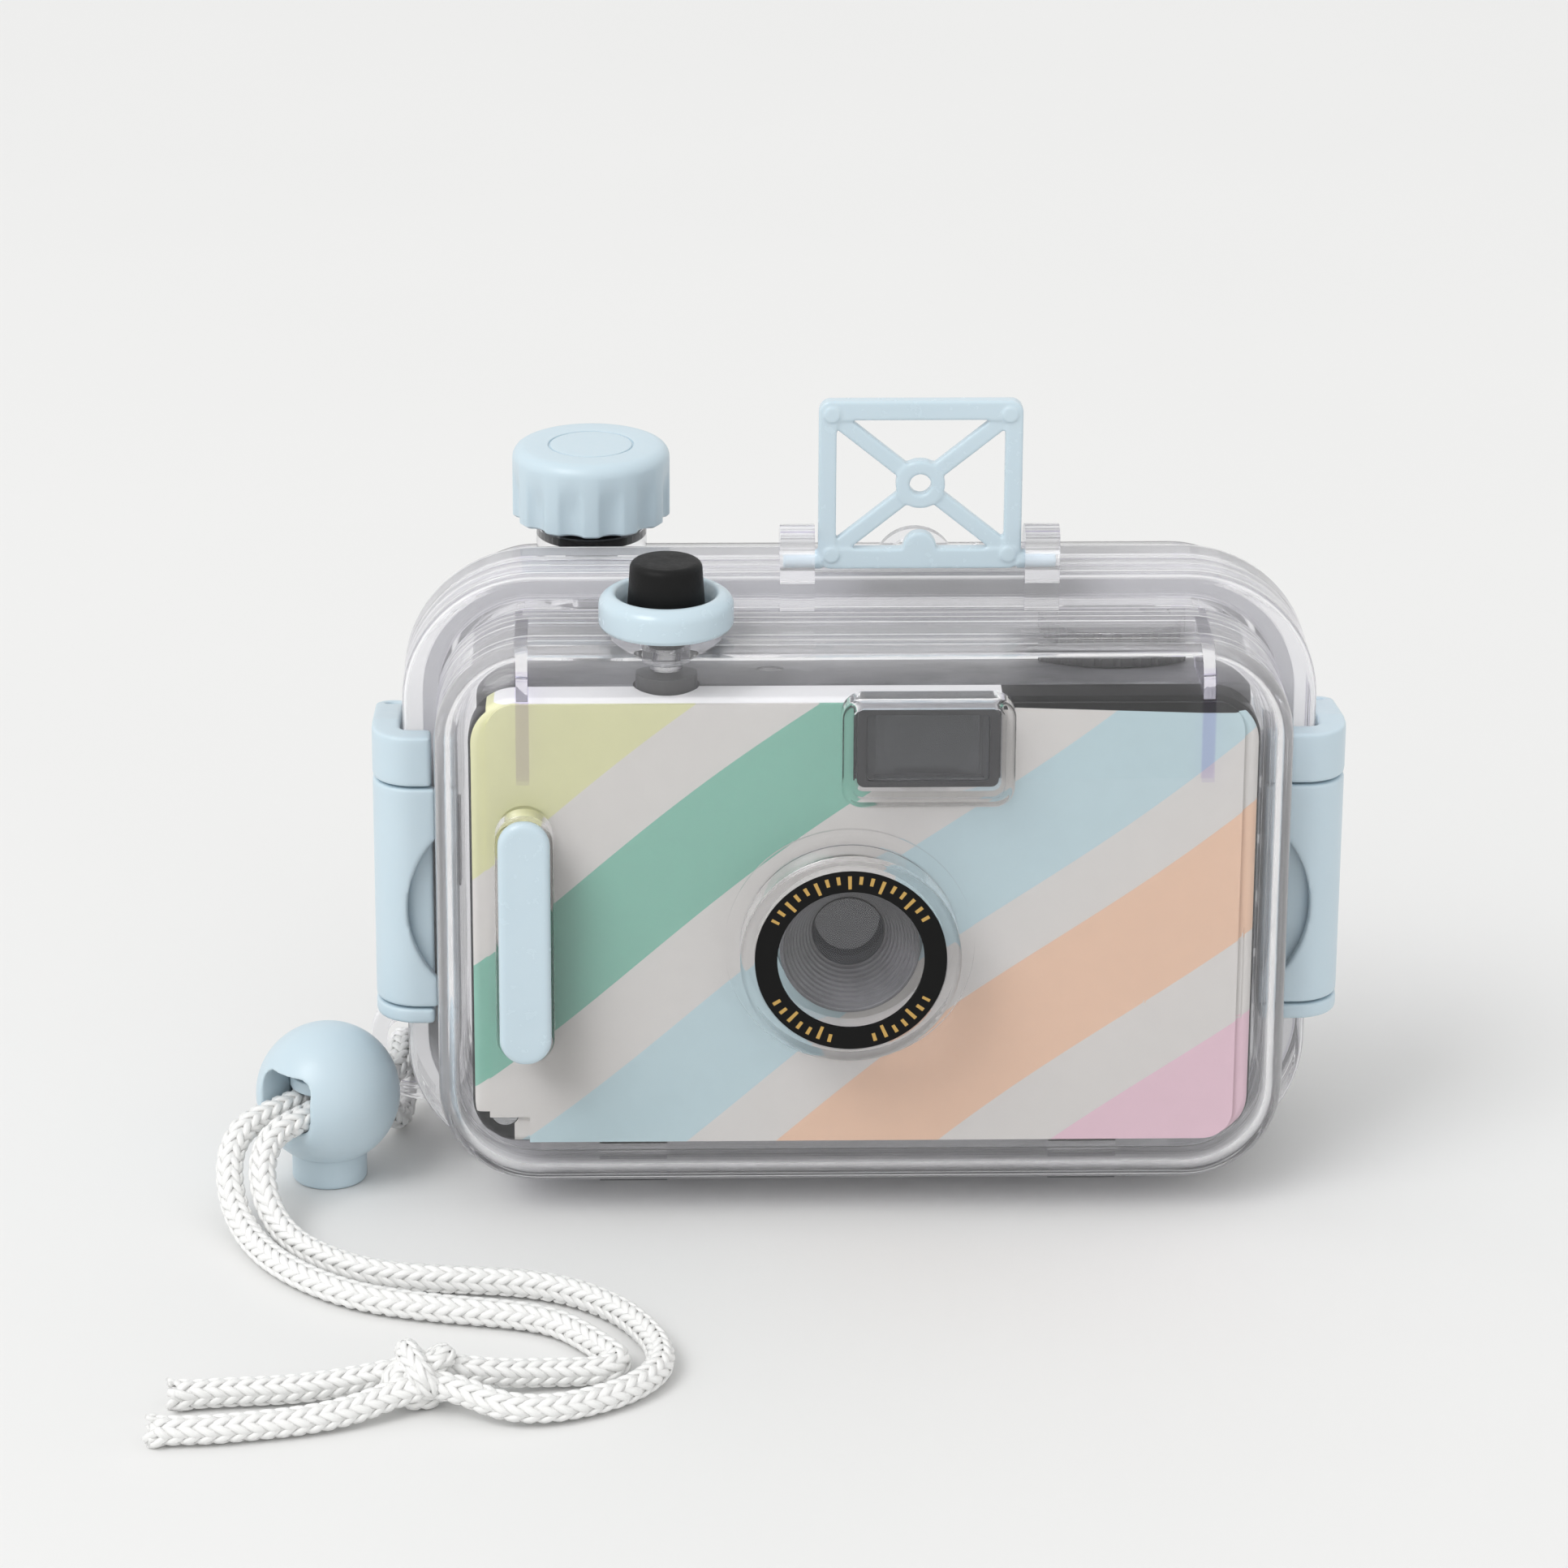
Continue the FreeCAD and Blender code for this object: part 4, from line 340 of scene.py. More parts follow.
def braidedTube(name, line, width, fray=(0, 0), closed=False):
    # yarns wind both ways round the line, over and under each other
    even, length = evenLine(line, cord["step"] * mm)
    size = width / cord["diameter"]
    tangents = []
    for index in range(len(even)):
        ahead, behind = min(index + 1, len(even) - 1), max(index - 1, 0)
        tangents.append((even[ahead] - even[behind]).normalized())
    if closed:
        tangents[0] = tangents[-1] = (even[1] - even[-2]).normalized()
    side = tangents[0].orthogonal().normalized()
    sides = [side]
    for first, last in zip(tangents, tangents[1:]):
        side = first.rotation_difference(last) @ side
        sides.append((side - last * side.dot(last)).normalized())
    turns = length / (cord["lead"] * size * mm)
    spare = 0.0
    if closed:  # whole turns, and the frame's own twist is taken out along the way
        turns = max(1, round(turns))
        spare = sides[-1].angle(sides[0])
        if sides[-1].cross(sides[0]).dot(tangents[0]) < 0:
            spare = -spare
    verts, faces, uvs = [], [], []
    dice = random.Random(cord["seed"])

    def addTube(centres, normals, wide, thick, around):
        start = len(verts)
        for index, (centre, normal) in enumerate(zip(centres, normals)):
            ahead, behind = min(index + 1, len(centres) - 1), max(index - 1, 0)
            along = (centres[ahead] - centres[behind]).normalized()
            across = along.cross(normal).normalized()
            outward = across.cross(along).normalized()
            for corner in range(around):
                angle = 2 * math.pi * corner / around
                verts.append(centre + across * (wide * math.cos(angle))
                             + outward * (thick * math.sin(angle)))
        for index in range(len(centres) - 1):
            for corner in range(around):
                after = (corner + 1) % around
                low, high = start + index * around, start + (index + 1) * around
                faces.append((low + corner, high + corner, high + after, low + after))
                u0, u1 = index * 0.5, (index + 1) * 0.5
                v0, v1 = corner / around, (corner + 1) / around
                uvs.append(((u0, v0), (u1, v0), (u1, v1), (u0, v1)))
        for index, flip in ((0, False), (len(centres) - 1, True)):
            cap = [start + index * around + corner for corner in range(around)]
            faces.append(tuple(cap if not flip else cap[::-1]))
            uvs.append(tuple((index * 0.5, 0.5) for corner in cap))

    for way in (1, -1):
        for yarn in range(cord["yarns"]):
            centres, normals = [], []
            jitter = [dice.uniform(-1, 1) for _ in range(4)]
            for index, middle in enumerate(even):
                share = index / (len(even) - 1)
                turn = 2 * math.pi * (way * turns * share + yarn / cord["yarns"])
                over = math.tanh(cord["steep"] * way * math.sin(4 * turn))
                over /= math.tanh(cord["steep"])
                radius = (cord["middle"] + cord["swing"] * over) * size * mm
                angle = turn + spare * share
                loose = 0.0
                for end, amount in ((0, fray[0]), (1, fray[1])):
                    near = 1 - abs(share - end) * length / (cord["frayLength"] * mm)
                    if amount and near > 0:
                        loose += amount * near * near
                radius *= 1 + cord["frayOut"] * loose * (0.5 + jitter[0] * jitter[0])
                angle += cord["frayTurn"] * loose * jitter[1]
                across = tangents[index].cross(sides[index])
                outward = sides[index] * math.cos(angle) + across * math.sin(angle)
                slip = tangents[index] * (loose * jitter[2] * cord["fraySlip"] * mm)
                drop = Vector((0, 0, -1)) * (cord["frayDrop"] * loose * abs(jitter[3]) * mm)
                spot = middle + outward * radius + slip + drop
                spot.z = max(spot.z, cord["yarnThick"] * mm)  # none goes into the floor
                centres.append(spot)
                normals.append(outward)
            addTube(centres, normals, cord["yarnWide"] * size * mm,
                    cord["yarnThick"] * size * mm, cord["yarnCorners"])
    core = cord["core"] * size * mm
    addTube(even[::2], sides[::2], core, core, cord["coreCorners"])
    mesh = bpy.data.meshes.new(name)
    mesh.from_pydata(verts, [], faces)
    layer = mesh.uv_layers.new(name="alongYarn")
    for polygon, corners in zip(mesh.polygons, uvs):
        for loop, corner in zip(polygon.loop_indices, corners):
            layer.data[loop].uv = corner
    mesh.polygons.foreach_set("use_smooth", [True] * len(mesh.polygons))
    tube = bpy.data.objects.new(name, mesh)
    bpy.context.scene.collection.objects.link(tube)
    return tube, even, length


def cordFibre():
    material, tree, shader = newMaterial("cordFibre")
    uv = tree.nodes.new("ShaderNodeUVMap")
    uv.uv_map = "alongYarn"
    threads = noise(tree, uv.outputs["UV"], 1.0, 2.0, 0.6, (0.5, 14.0, 1.0))
    broad = noise(tree, objectPlace(tree), 420.0, 2.0)
    tone = ramp(tree, threads, [(0.25, colours["fibreDeep"]), (0.75, colours["fibrePale"])])
    setSockets(tree, shader, Base_Color=tone, Roughness=spread(tree, broad, 0.26, 0.42),
               Sheen_Weight=0.35, Sheen_Roughness=0.4, Specular_IOR_Level=0.55,
               Subsurface_Weight=0.1, Subsurface_Scale=0.0006,
               Subsurface_Radius=(1.0, 1.0, 0.97))
    bump(tree, shader, threads, 0.35, 0.00012)
    return material


def addCords():
    lower, upper = cordRoutes()
    fibre = cordFibre()
    for name, route, nodes in (("cordLower", lower, ("cord_strand_a", "cord_end_a")),
                               ("cordUpper", upper, ("cord_strand_b", "cord_end_b"))):
        line = splineLine([place(*point) for point in route])
        tube, even, length = braidedTube(name, line, cord["diameter"], fray=(0, 1))
        tube.data.materials.append(fibre)
        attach(tube, "housing")
        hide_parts(*nodes)
        print(name, "is", round(length * 1000, 1), "mm long")
    knot = addKnot(fibre)
    print("cords in place")


knotSize = {"x": -56.5, "depth": 84.3, "z": 4.35, "ring": 2.9, "tube": 1.35, "cordWide": 3.3,
            "stretch": (1.95, 1.02, 0.74), "turn": -24.0, "points": 18}


def addKnot(fibre):
    # the tightened crossing of both strands: two loops that wind through each other
    centre = place(knotSize["x"], knotSize["depth"], knotSize["z"])
    turn = Matrix.Rotation(math.radians(knotSize["turn"]), 3, "Z")
    points = []
    for index in range(knotSize["points"]):
        t = 2 * math.pi * (index + 0.5) / knotSize["points"]
        out = knotSize["ring"] + knotSize["tube"] * math.cos(3 * t)
        spot = Vector((knotSize["tube"] * math.sin(3 * t) * knotSize["stretch"][0],
                       out * math.cos(2 * t) * knotSize["stretch"][1],
                       out * math.sin(2 * t) * knotSize["stretch"][2]))
        points.append(centre + turn @ spot * mm)
    line = splineLine(points, closed=True)
    knot = braidedTube("cordKnot", line, knotSize["cordWide"], closed=True)[0]
    knot.data.materials.append(fibre)
    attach(knot, "housing")
    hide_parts("cord_knot")
    return knot


# plastics, metals and glass
colours = {"blueDeep": (0.552, 0.670, 0.738), "bluePale": (0.575, 0.692, 0.760),
           "black": (0.012, 0.012, 0.013), "charcoal": (0.030, 0.030, 0.032),
           "coverGrey": (0.20, 0.20, 0.21), "steel": (0.62, 0.62, 0.63),
           "can": (0.45, 0.46, 0.47), "gear": (0.66, 0.65, 0.62),
           "rubber": (0.006, 0.006, 0.006), "gold": (0.52, 0.33, 0.10),
           "lensGlass": (0.020, 0.022, 0.030), "finderGlass": (0.80, 0.82, 0.84),
           "fibreDeep": (0.86, 0.86, 0.845), "fibrePale": (0.95, 0.95, 0.94)}


def plastic(name, dark, pale, rough, grain=(0.03, 1800.0), soft=0.0, coat=0.0, gloss=0.5):
    material, tree, shader = newMaterial(name)
    where = objectPlace(tree)
    broad = noise(tree, where, 55.0, 4.0, 0.55)
    fine = noise(tree, where, 700.0, 3.0, 0.6)
    setSockets(tree, shader, Base_Color=mottled(tree, broad, dark, pale), IOR=1.5,
               Roughness=spread(tree, fine, rough - 0.05, rough + 0.05),
               Specular_IOR_Level=gloss, Subsurface_Weight=soft, Subsurface_Scale=0.0012,
               Subsurface_Radius=(0.7, 0.9, 1.0), Coat_Weight=coat, Coat_Roughness=0.08)
    strength, scale = grain
    bump(tree, shader, noise(tree, where, scale, 2.0), strength, 0.0002)
    return material


def metal(name, colour, rough, stretch=(1, 1, 12)):
    material, tree, shader = newMaterial(name)
    lines = noise(tree, objectPlace(tree), 420.0, 4.0, 0.6, stretch)
    setSockets(tree, shader, Base_Color=mottled(tree, lines, darker(colour, 0.82), colour),
               Metallic=1.0, Roughness=spread(tree, lines, rough - 0.06, rough + 0.06))
    bump(tree, shader, lines, 0.08, 0.0001)
    return material


# darkLines are (depth, half width) of the fine dark lines round the walls, and the bright lines
# after them are painted highlights along the rim's edges; the window is the clearer part of the
# top over the card's dip, full across windowFull
glass = {"clear": (0.987, 0.985, 0.997), "edge": (0.79, 0.75, 0.95), "edgeBlend": 0.35,
         "shade": (0.95, 0.95, 0.965), "floorShade": (0.22, 0.21, 0.24),
         "shadeFrom": 3.0, "shadeTo": 12.0, "rough": 0.006, "roughMore": 0.03,
         "index": 1.32, "haze": 0.17, "faceHaze": 0.01, "wallBack": (0.3, -1.5),
         "wallFront": (31.6, 27.0), "line": (0.50, 0.44, 0.71), "lineShare": 0.85,
         "rimHighlightShare": 0.5,
         "darkLines": ((0.35, 0.2), (6.7, 0.13), (9.3, 0.1), (13.7, 0.15), (17.4, 0.12),
                       (24.0, 0.12)),
         "rimHighlightLines": ((1.2, 0.3), (5.7, 0.3), (8.3, 0.2), (11.4, 0.4), (12.7, 0.25),
                         (16.4, 0.3), (23.2, 0.3)),
         "ribX": 44.0, "ribHalf": 0.85, "ribTop": 77.0, "ribLow": 62.0,
         "ribTint": (0.84, 0.80, 0.95), "windowX": 31.0, "windowHalf": 13.8,
         "windowFull": 9.5, "windowDepth": 21.0, "windowClear": 0.85,
         "ringRadius": 2.95, "ringWidth": 0.16,
         "rings": ((-39.8, 68.9), (37.5, 65.6), (37.8, 20.5), (-34.5, 20.1)),
         "panel": (36.6, 49.2, 29.3, 41.7), "faceDepth": 31.8}


def ridge(tree, off, height, half=None):
    away = calc(tree, "ABSOLUTE", off)
    level = span(tree, away, 0.0, (half or glass["ringWidth"]) * mm, 1.0, 0.0)
    return level if height is None else calc(tree, "MAXIMUM", height, level)


def depthLines(tree, y, lines):
    height = None
    for depth, half in lines:
        height = ridge(tree, calc(tree, "SUBTRACT", y, planeY(depth)), height, half)
    return height


def milkiness(tree, x, y, z, bright, inRib):
    # rims and walls are less clear than the flat front and back, and the bright lines on them
    # are painted highlights
    aside = calc(tree, "SUBTRACT", 1.0, facesFront(tree))
    first, last = (planeY(depth) for depth in glass["wallBack"])
    aside = calc(tree, "MAXIMUM", aside, span(tree, y, first, last, 1.0, 0.0))
    first, last = (planeY(depth) for depth in glass["wallFront"])
    walls = allOf(tree, aside, span(tree, y, first, last, 0.0, 1.0))
    off = calc(tree, "ABSOLUTE", calc(tree, "SUBTRACT", x, glass["windowX"] * mm))
    full, half = glass["windowFull"] * mm, glass["windowHalf"] * mm
    inWindow = allOf(tree, span(tree, off, full, half, 1.0, 0.0),
                     calc(tree, "GREATER_THAN", z, glass["ribLow"] * mm),
                     calc(tree, "LESS_THAN", y, planeY(glass["windowDepth"])))
    walls = allOf(tree, walls, calc(tree, "SUBTRACT", 1.0, inRib),
                  calc(tree, "MULTIPLY_ADD", inWindow, -glass["windowClear"], 1.0))
    # the bright lines raise the haze, painting highlights along the rim's edges
    milk = calc(tree, "MULTIPLY_ADD", bright, glass["rimHighlightShare"], glass["haze"])
    return calc(tree, "MAXIMUM", allOf(tree, milk, walls), glass["faceHaze"])


def mouldedMarks(tree, x, y, z):
    # four small rings and a low square field on the front face
    height = None
    for markX, markZ in glass["rings"]:
        away = lengthOf(tree, calc(tree, "SUBTRACT", x, markX * mm),
                        calc(tree, "SUBTRACT", z, markZ * mm))
        height = ridge(tree, calc(tree, "SUBTRACT", away, glass["ringRadius"] * mm), height)
    left, right, low, high = (value * mm for value in glass["panel"])
    over = []
    for axis, first, last in ((x, left, right), (z, low, high)):
        off = calc(tree, "ABSOLUTE", calc(tree, "SUBTRACT", axis, (first + last) / 2))
        over.append(calc(tree, "SUBTRACT", off, (last - first) / 2))
    height = ridge(tree, calc(tree, "MAXIMUM", *over), height)
    return allOf(tree, height, calc(tree, "LESS_THAN", y, planeY(glass["faceDepth"])))


def clearPlastic(name, marks=False, tint=None, milky=False):
    # light reaches what lies behind it, because shadow rays go straight through
    material, tree, shader = newMaterial(name)
    where = objectPlace(tree)
    x, y, z = axes(tree, where)
    facing = tree.nodes.new("ShaderNodeLayerWeight")
    facing.inputs["Blend"].default_value = glass["edgeBlend"]
    tone = ramp(tree, facing.outputs["Facing"],
                [(0.72, tint or glass["clear"]), (0.98, glass["edge"])])
    height = calc(tree, "MULTIPLY", noise(tree, where, 38.0, 1.5, 0.4), 0.25)
    clearness = 1.0 - glass["faceHaze"]
    if milky:  # with dark lines round the walls, bright lines beside them as painted highlights, and two thin, clear, slightly violet ribs
        dark = depthLines(tree, y, glass["darkLines"])
        # painted highlights: bright lines along the rim's edges, whitened by extra haze in
        # milkiness
        bright = depthLines(tree, y, glass["rimHighlightLines"])
        share = calc(tree, "MULTIPLY", dark, glass["lineShare"])
        off = calc(tree, "SUBTRACT", calc(tree, "ABSOLUTE", x), glass["ribX"] * mm)
        near = calc(tree, "LESS_THAN", calc(tree, "ABSOLUTE", off), glass["ribHalf"] * mm)
        inRib = allOf(tree, near, calc(tree, "LESS_THAN", z, glass["ribTop"] * mm),
                      calc(tree, "GREATER_THAN", z, glass["ribLow"] * mm))
        tone = mixColour(tree, share, tone, glass["line"])
        tone = mixColour(tree, inRib, tone, glass["ribTint"])
        height = calc(tree, "ADD", height, calc(tree, "MAXIMUM", dark, bright))
        clearness = calc(tree, "SUBTRACT", 1.0, milkiness(tree, x, y, z, bright, inRib))
    rough = span(tree, noise(tree, where, 90.0, 4.0, 0.6), 0.35, 0.75, glass["rough"],
                 glass["rough"] + glass["roughMore"])
    setSockets(tree, shader, Base_Color=tone, Roughness=rough, IOR=glass["index"],
               Transmission_Weight=clearness)
    smooth = bump(tree, shader, height, 0.35, 0.00012)
    if marks:
        bump(tree, shader, mouldedMarks(tree, x, y, z), 0.5, 0.0002, smooth)
    path = tree.nodes.new("ShaderNodeLightPath")
    passing = tree.nodes.new("ShaderNodeBsdfTransparent")
    high = span(tree, z, glass["shadeFrom"] * mm, glass["shadeTo"] * mm, 0.0, 1.0)
    setSockets(tree, passing, Color=ramp(tree, high, [(0.0, glass["floorShade"]),
                                                      (1.0, glass["shade"])]))
    mix = tree.nodes.new("ShaderNodeMixShader")
    sources = (path.outputs["Is Shadow Ray"], shader.outputs[0], passing.outputs[0])
    for socket, source in zip(mix.inputs, sources):
        tree.links.new(source, socket)
    tree.links.new(mix.outputs[0], tree.nodes["Material Output"].inputs["Surface"])
    return material


sheetGrey = (0.660, 0.640, 0.607)
panel = {"slope": 38.0, "start": -86.9, "wave": 0.9, "waveLength": 88.0, "dipX": 17.6,
         "dipZ": 71.6, "dip": 0.9, "dipLength": 26.0, "capZ": 71.9, "capX": -15.5,
         "capHalf": 33.1, "capHighlight": (0.78, 0.78, 0.78), "underZ": 40.0, "cornerX": -45.6,
         "cornerZ": 15.2, "coat": 0.1, "gloss": 0.5, "darkGloss": 0.08,
         "bands": ((17.0, (0.672, 0.672, 0.385)), (9.5, sheetGrey),
                   (13.5, (0.215, 0.480, 0.375)), (9.5, sheetGrey),
                   (13.5, (0.490, 0.635, 0.665)), (8.0, sheetGrey),
                   (14.0, (0.775, 0.520, 0.365)), (9.0, sheetGrey),
                   (30.0, (0.735, 0.510, 0.580)))}


def bandTone(tree, x, z):
    slope = math.radians(panel["slope"])
    along = calc(tree, "MULTIPLY_ADD", x, math.cos(slope) / mm,
                 calc(tree, "MULTIPLY", z, math.sin(slope) / mm))
    across = calc(tree, "MULTIPLY_ADD", x, math.sin(slope) / mm,
                  calc(tree, "MULTIPLY", z, -math.cos(slope) / mm))
    wave = calc(tree, "SINE", calc(tree, "MULTIPLY", along, 2 * math.pi / panel["waveLength"]))
    spot = calc(tree, "MULTIPLY_ADD", wave, panel["wave"], across)
    total = sum(width for width, colour in panel["bands"])
    spot = span(tree, spot, panel["start"], panel["start"] + total, 0.0, 1.0)
    stops, reached = [], 0.0
    for width, colour in panel["bands"]:
        stops.append((reached / total, colour))
        reached += width
    return ramp(tree, spot, stops, "CONSTANT")


def printedCard(name="printedBands", cover=False):
    # plain diagonal bands in pastel colours; the cover round the card carries them on
    material, tree, shader = newMaterial(name)
    where = objectPlace(tree)
    x, _, z = axes(tree, where)
    fibre = noise(tree, where, 600.0, 5.0, 0.65)
    grain = mottled(tree, fibre, (0.965, 0.965, 0.965), (1, 1, 1))
    tone = mixColour(tree, 1.0, bandTone(tree, x, z), grain, "MULTIPLY")
    # at the top right the card's edge dips and the dark camera shows
    ahead = calc(tree, "SUBTRACT", x, panel["dipX"] * mm)
    share = span(tree, ahead, 0.0, panel["dipLength"] * mm, 0.0, 1.0)
    edge = calc(tree, "MULTIPLY_ADD", share, -panel["dip"] * mm, panel["dipZ"] * mm)
    dark = allOf(tree, calc(tree, "GREATER_THAN", z, edge),
                 calc(tree, "GREATER_THAN", ahead, 0.0))
    if cover:  # a white strip along the top as a painted highlight, then dark sides and a dark corner at the lower left
        # painted highlight: above capZ the cover is a flat pale grey in place of the shell's
        # edge highlight
        tone = mixColour(tree, calc(tree, "GREATER_THAN", z, panel["capZ"] * mm), tone,
                         panel["capHighlight"])
        side = calc(tree, "LESS_THAN", facesFront(tree), 0.5)
        away = calc(tree, "ABSOLUTE", calc(tree, "SUBTRACT", x, panel["capX"] * mm))
        beside = calc(tree, "MAXIMUM", calc(tree, "GREATER_THAN", away, panel["capHalf"] * mm),
                      calc(tree, "LESS_THAN", z, panel["underZ"] * mm))
        corner = allOf(tree, calc(tree, "LESS_THAN", x, panel["cornerX"] * mm),
                       calc(tree, "LESS_THAN", z, panel["cornerZ"] * mm))
        for part in (allOf(tree, side, beside), corner):
            dark = calc(tree, "MAXIMUM", dark, part)
    rough = calc(tree, "MULTIPLY_ADD", dark, -0.3, spread(tree, fibre, 0.42, 0.52))
    gloss = calc(tree, "MULTIPLY_ADD", dark, panel["darkGloss"] - panel["gloss"],
                 panel["gloss"])
    setSockets(tree, shader, Base_Color=mixColour(tree, dark, tone, colours["rubber"]),
               Roughness=rough, Specular_IOR_Level=gloss, Coat_Roughness=0.25,
               Coat_Weight=calc(tree, "MULTIPLY_ADD", dark, -panel["coat"], panel["coat"]))
    bump(tree, shader, fibre, 0.06, 0.0002)
    return material


# the arcs are in degrees from the ring's right side; every third stroke is a long one
ringMarks = {"shortInner": 10.6, "longInner": 9.9, "outer": 11.7, "every": 7.5, "wide": 0.32,
             "longEvery": 3, "longShare": 0.33,
             "arcs": ((28.0, 152.0), (208.0, 258.0), (282.0, 332.0)), "x": -1.9, "z": 39.7}


def markedRing():
    # gold strokes, evenly spaced in three arcs, in place of any wording
    material, tree, shader = newMaterial("markedRing")
    where = objectPlace(tree)
    x, _, z = axes(tree, where)
    dx = calc(tree, "SUBTRACT", x, ringMarks["x"] * mm)
    dz = calc(tree, "SUBTRACT", z, ringMarks["z"] * mm)
    radius = lengthOf(tree, dx, dz)
    angle = calc(tree, "MULTIPLY", calc(tree, "ARCTAN2", dz, dx), 180 / math.pi)
    angle = calc(tree, "MODULO", calc(tree, "ADD", angle, 360.0), 360.0)

    def between(value, low, high):
        return allOf(tree, calc(tree, "GREATER_THAN", value, low),
                     calc(tree, "LESS_THAN", value, high))

    steps = calc(tree, "DIVIDE", angle, ringMarks["every"])
    stroke = calc(tree, "LESS_THAN", calc(tree, "FRACT", steps), ringMarks["wide"])
    turn = calc(tree, "FRACT", calc(tree, "DIVIDE", steps, ringMarks["longEvery"]))
    inner = calc(tree, "MULTIPLY_ADD", calc(tree, "LESS_THAN", turn, ringMarks["longShare"]),
                 (ringMarks["longInner"] - ringMarks["shortInner"]) * mm,
                 ringMarks["shortInner"] * mm)
    arcs = None
    for low, high in ringMarks["arcs"]:
        arc = between(angle, low, high)
        arcs = arc if arcs is None else calc(tree, "MAXIMUM", arcs, arc)
    marks = allOf(tree, stroke, between(radius, inner, ringMarks["outer"] * mm), arcs)
    tone = ramp(tree, marks, [(0.4, colours["rubber"]), (0.6, colours["gold"])])
    rough = spread(tree, noise(tree, where, 900.0, 3.0), 0.34, 0.46)
    setSockets(tree, shader, Base_Color=tone, Roughness=rough, Specular_IOR_Level=0.12)
    bump(tree, shader, marks, 0.15, 0.00005)
    return material


def darkGlass(name, colour):
    material, tree, shader = newMaterial(name)
    fine = noise(tree, objectPlace(tree), 260.0, 2.0)
    setSockets(tree, shader, Base_Color=mottled(tree, fine, darker(colour, 0.7), colour),
               Roughness=spread(tree, fine, 0.03, 0.07), IOR=1.55, Coat_Weight=0.6,
               Coat_Roughness=0.02)
    return material


def dressNodes():
    looks = {
        "clear_shell": clearPlastic("clearShell", marks=True, milky=True),
        "clear_lens": clearPlastic("clearWindow"),
        "light_blue": plastic("bluePlastic", colours["blueDeep"], colours["bluePale"], 0.36,
                              soft=0.12),
        "light_blue_gloss": plastic("blueGloss", colours["blueDeep"], colours["bluePale"], 0.24,
                                    grain=(0.02, 1200.0), soft=0.12, coat=0.15),
        "dark_plastic": plastic("blackPlastic", colours["black"], colours["charcoal"], 0.38),
        "black_gloss": plastic("blackGloss", colours["black"], colours["charcoal"], 0.2,
                               grain=(0.002, 900.0), coat=0.3),
        "soft_rubber": plastic("rubber", colours["rubber"], colours["black"], 0.5,
                               grain=(0.12, 2600.0), gloss=0.18),
        "printed_card": printedCard(),
        "steel": metal("brightSteel", colours["steel"], 0.28),
        "can_steel": metal("canSteel", colours["can"], 0.38, (1, 1, 0.2)),
        "gear_plastic": plastic("gearPlastic", darker(colours["gear"], 0.9), colours["gear"],
                                0.45),
        "white_braid": bpy.data.materials["cordFibre"]}
    special = {"camera_top_cover": plastic("coverGrey", colours["charcoal"],
                                           colours["coverGrey"], 0.42),
               "camera_front_cover": printedCard("printedCover", cover=True),
               "lens_ring": markedRing(),
               "shell_gasket": clearPlastic("clearSeal", milky=True),
               "front_lens_element": darkGlass("lensGlass", colours["lensGlass"]),
               "finder_front_lens": clearPlastic("finderGlass", tint=colours["finderGlass"])}
    for name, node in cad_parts.items():
        for slot in node.material_slots:
            slot.material = special.get(name) or looks[slot.material.name]
    print("CAD nodes dressed")
    return looks


# ways to make a piece; points closer together than the gap, in mm, are merged
weldGap = 0.002


def only(piece):
    bpy.ops.object.select_all(action="DESELECT")
    piece.select_set(True)
    bpy.context.view_layer.objects.active = piece


def editAll(piece, *steps):
    only(piece)
    bpy.ops.object.mode_set(mode="EDIT")
    bpy.ops.mesh.select_all(action="SELECT")
    for step in steps:
        step()
    bpy.ops.object.mode_set(mode="OBJECT")


def weld():
    bpy.ops.mesh.remove_doubles(threshold=weldGap * mm)


def outward():
    bpy.ops.mesh.normals_make_consistent(inside=False)


def dress(piece, material, body, slot, *nodes):
    piece.data.materials.clear()
    piece.data.materials.append(material)
    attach(piece, body)
    if nodes:
        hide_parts(*nodes)


def roundedLine(corners, closed=False):
    points, count = [], len(corners)
    for index, (x, z, radius) in enumerate(corners):
        here = Vector((x, z))
        if radius == 0 or (not closed and index in (0, count - 1)):
            points.append(here)
            continue
        before = Vector(corners[index - 1][:2]) - here
        after = Vector(corners[(index + 1) % count][:2]) - here
        half = before.angle(after) / 2
        reach = min(radius / math.tan(half), 0.49 * before.length, 0.49 * after.length)
        size = reach * math.tan(half)
        inward = (before.normalized() + after.normalized()).normalized()
        middle = here + inward * (size / math.sin(half))
        start = here + before.normalized() * reach - middle
        sweep = start.angle_signed(here + after.normalized() * reach - middle)
        segments = max(2, round(abs(sweep) / math.radians(14)))
        for step in range(segments + 1):
            sin, cos = (way(-sweep * step / segments) for way in (math.sin, math.cos))
            points.append(middle + Vector((start.x * cos - start.y * sin,
                                           start.x * sin + start.y * cos)))
    return points


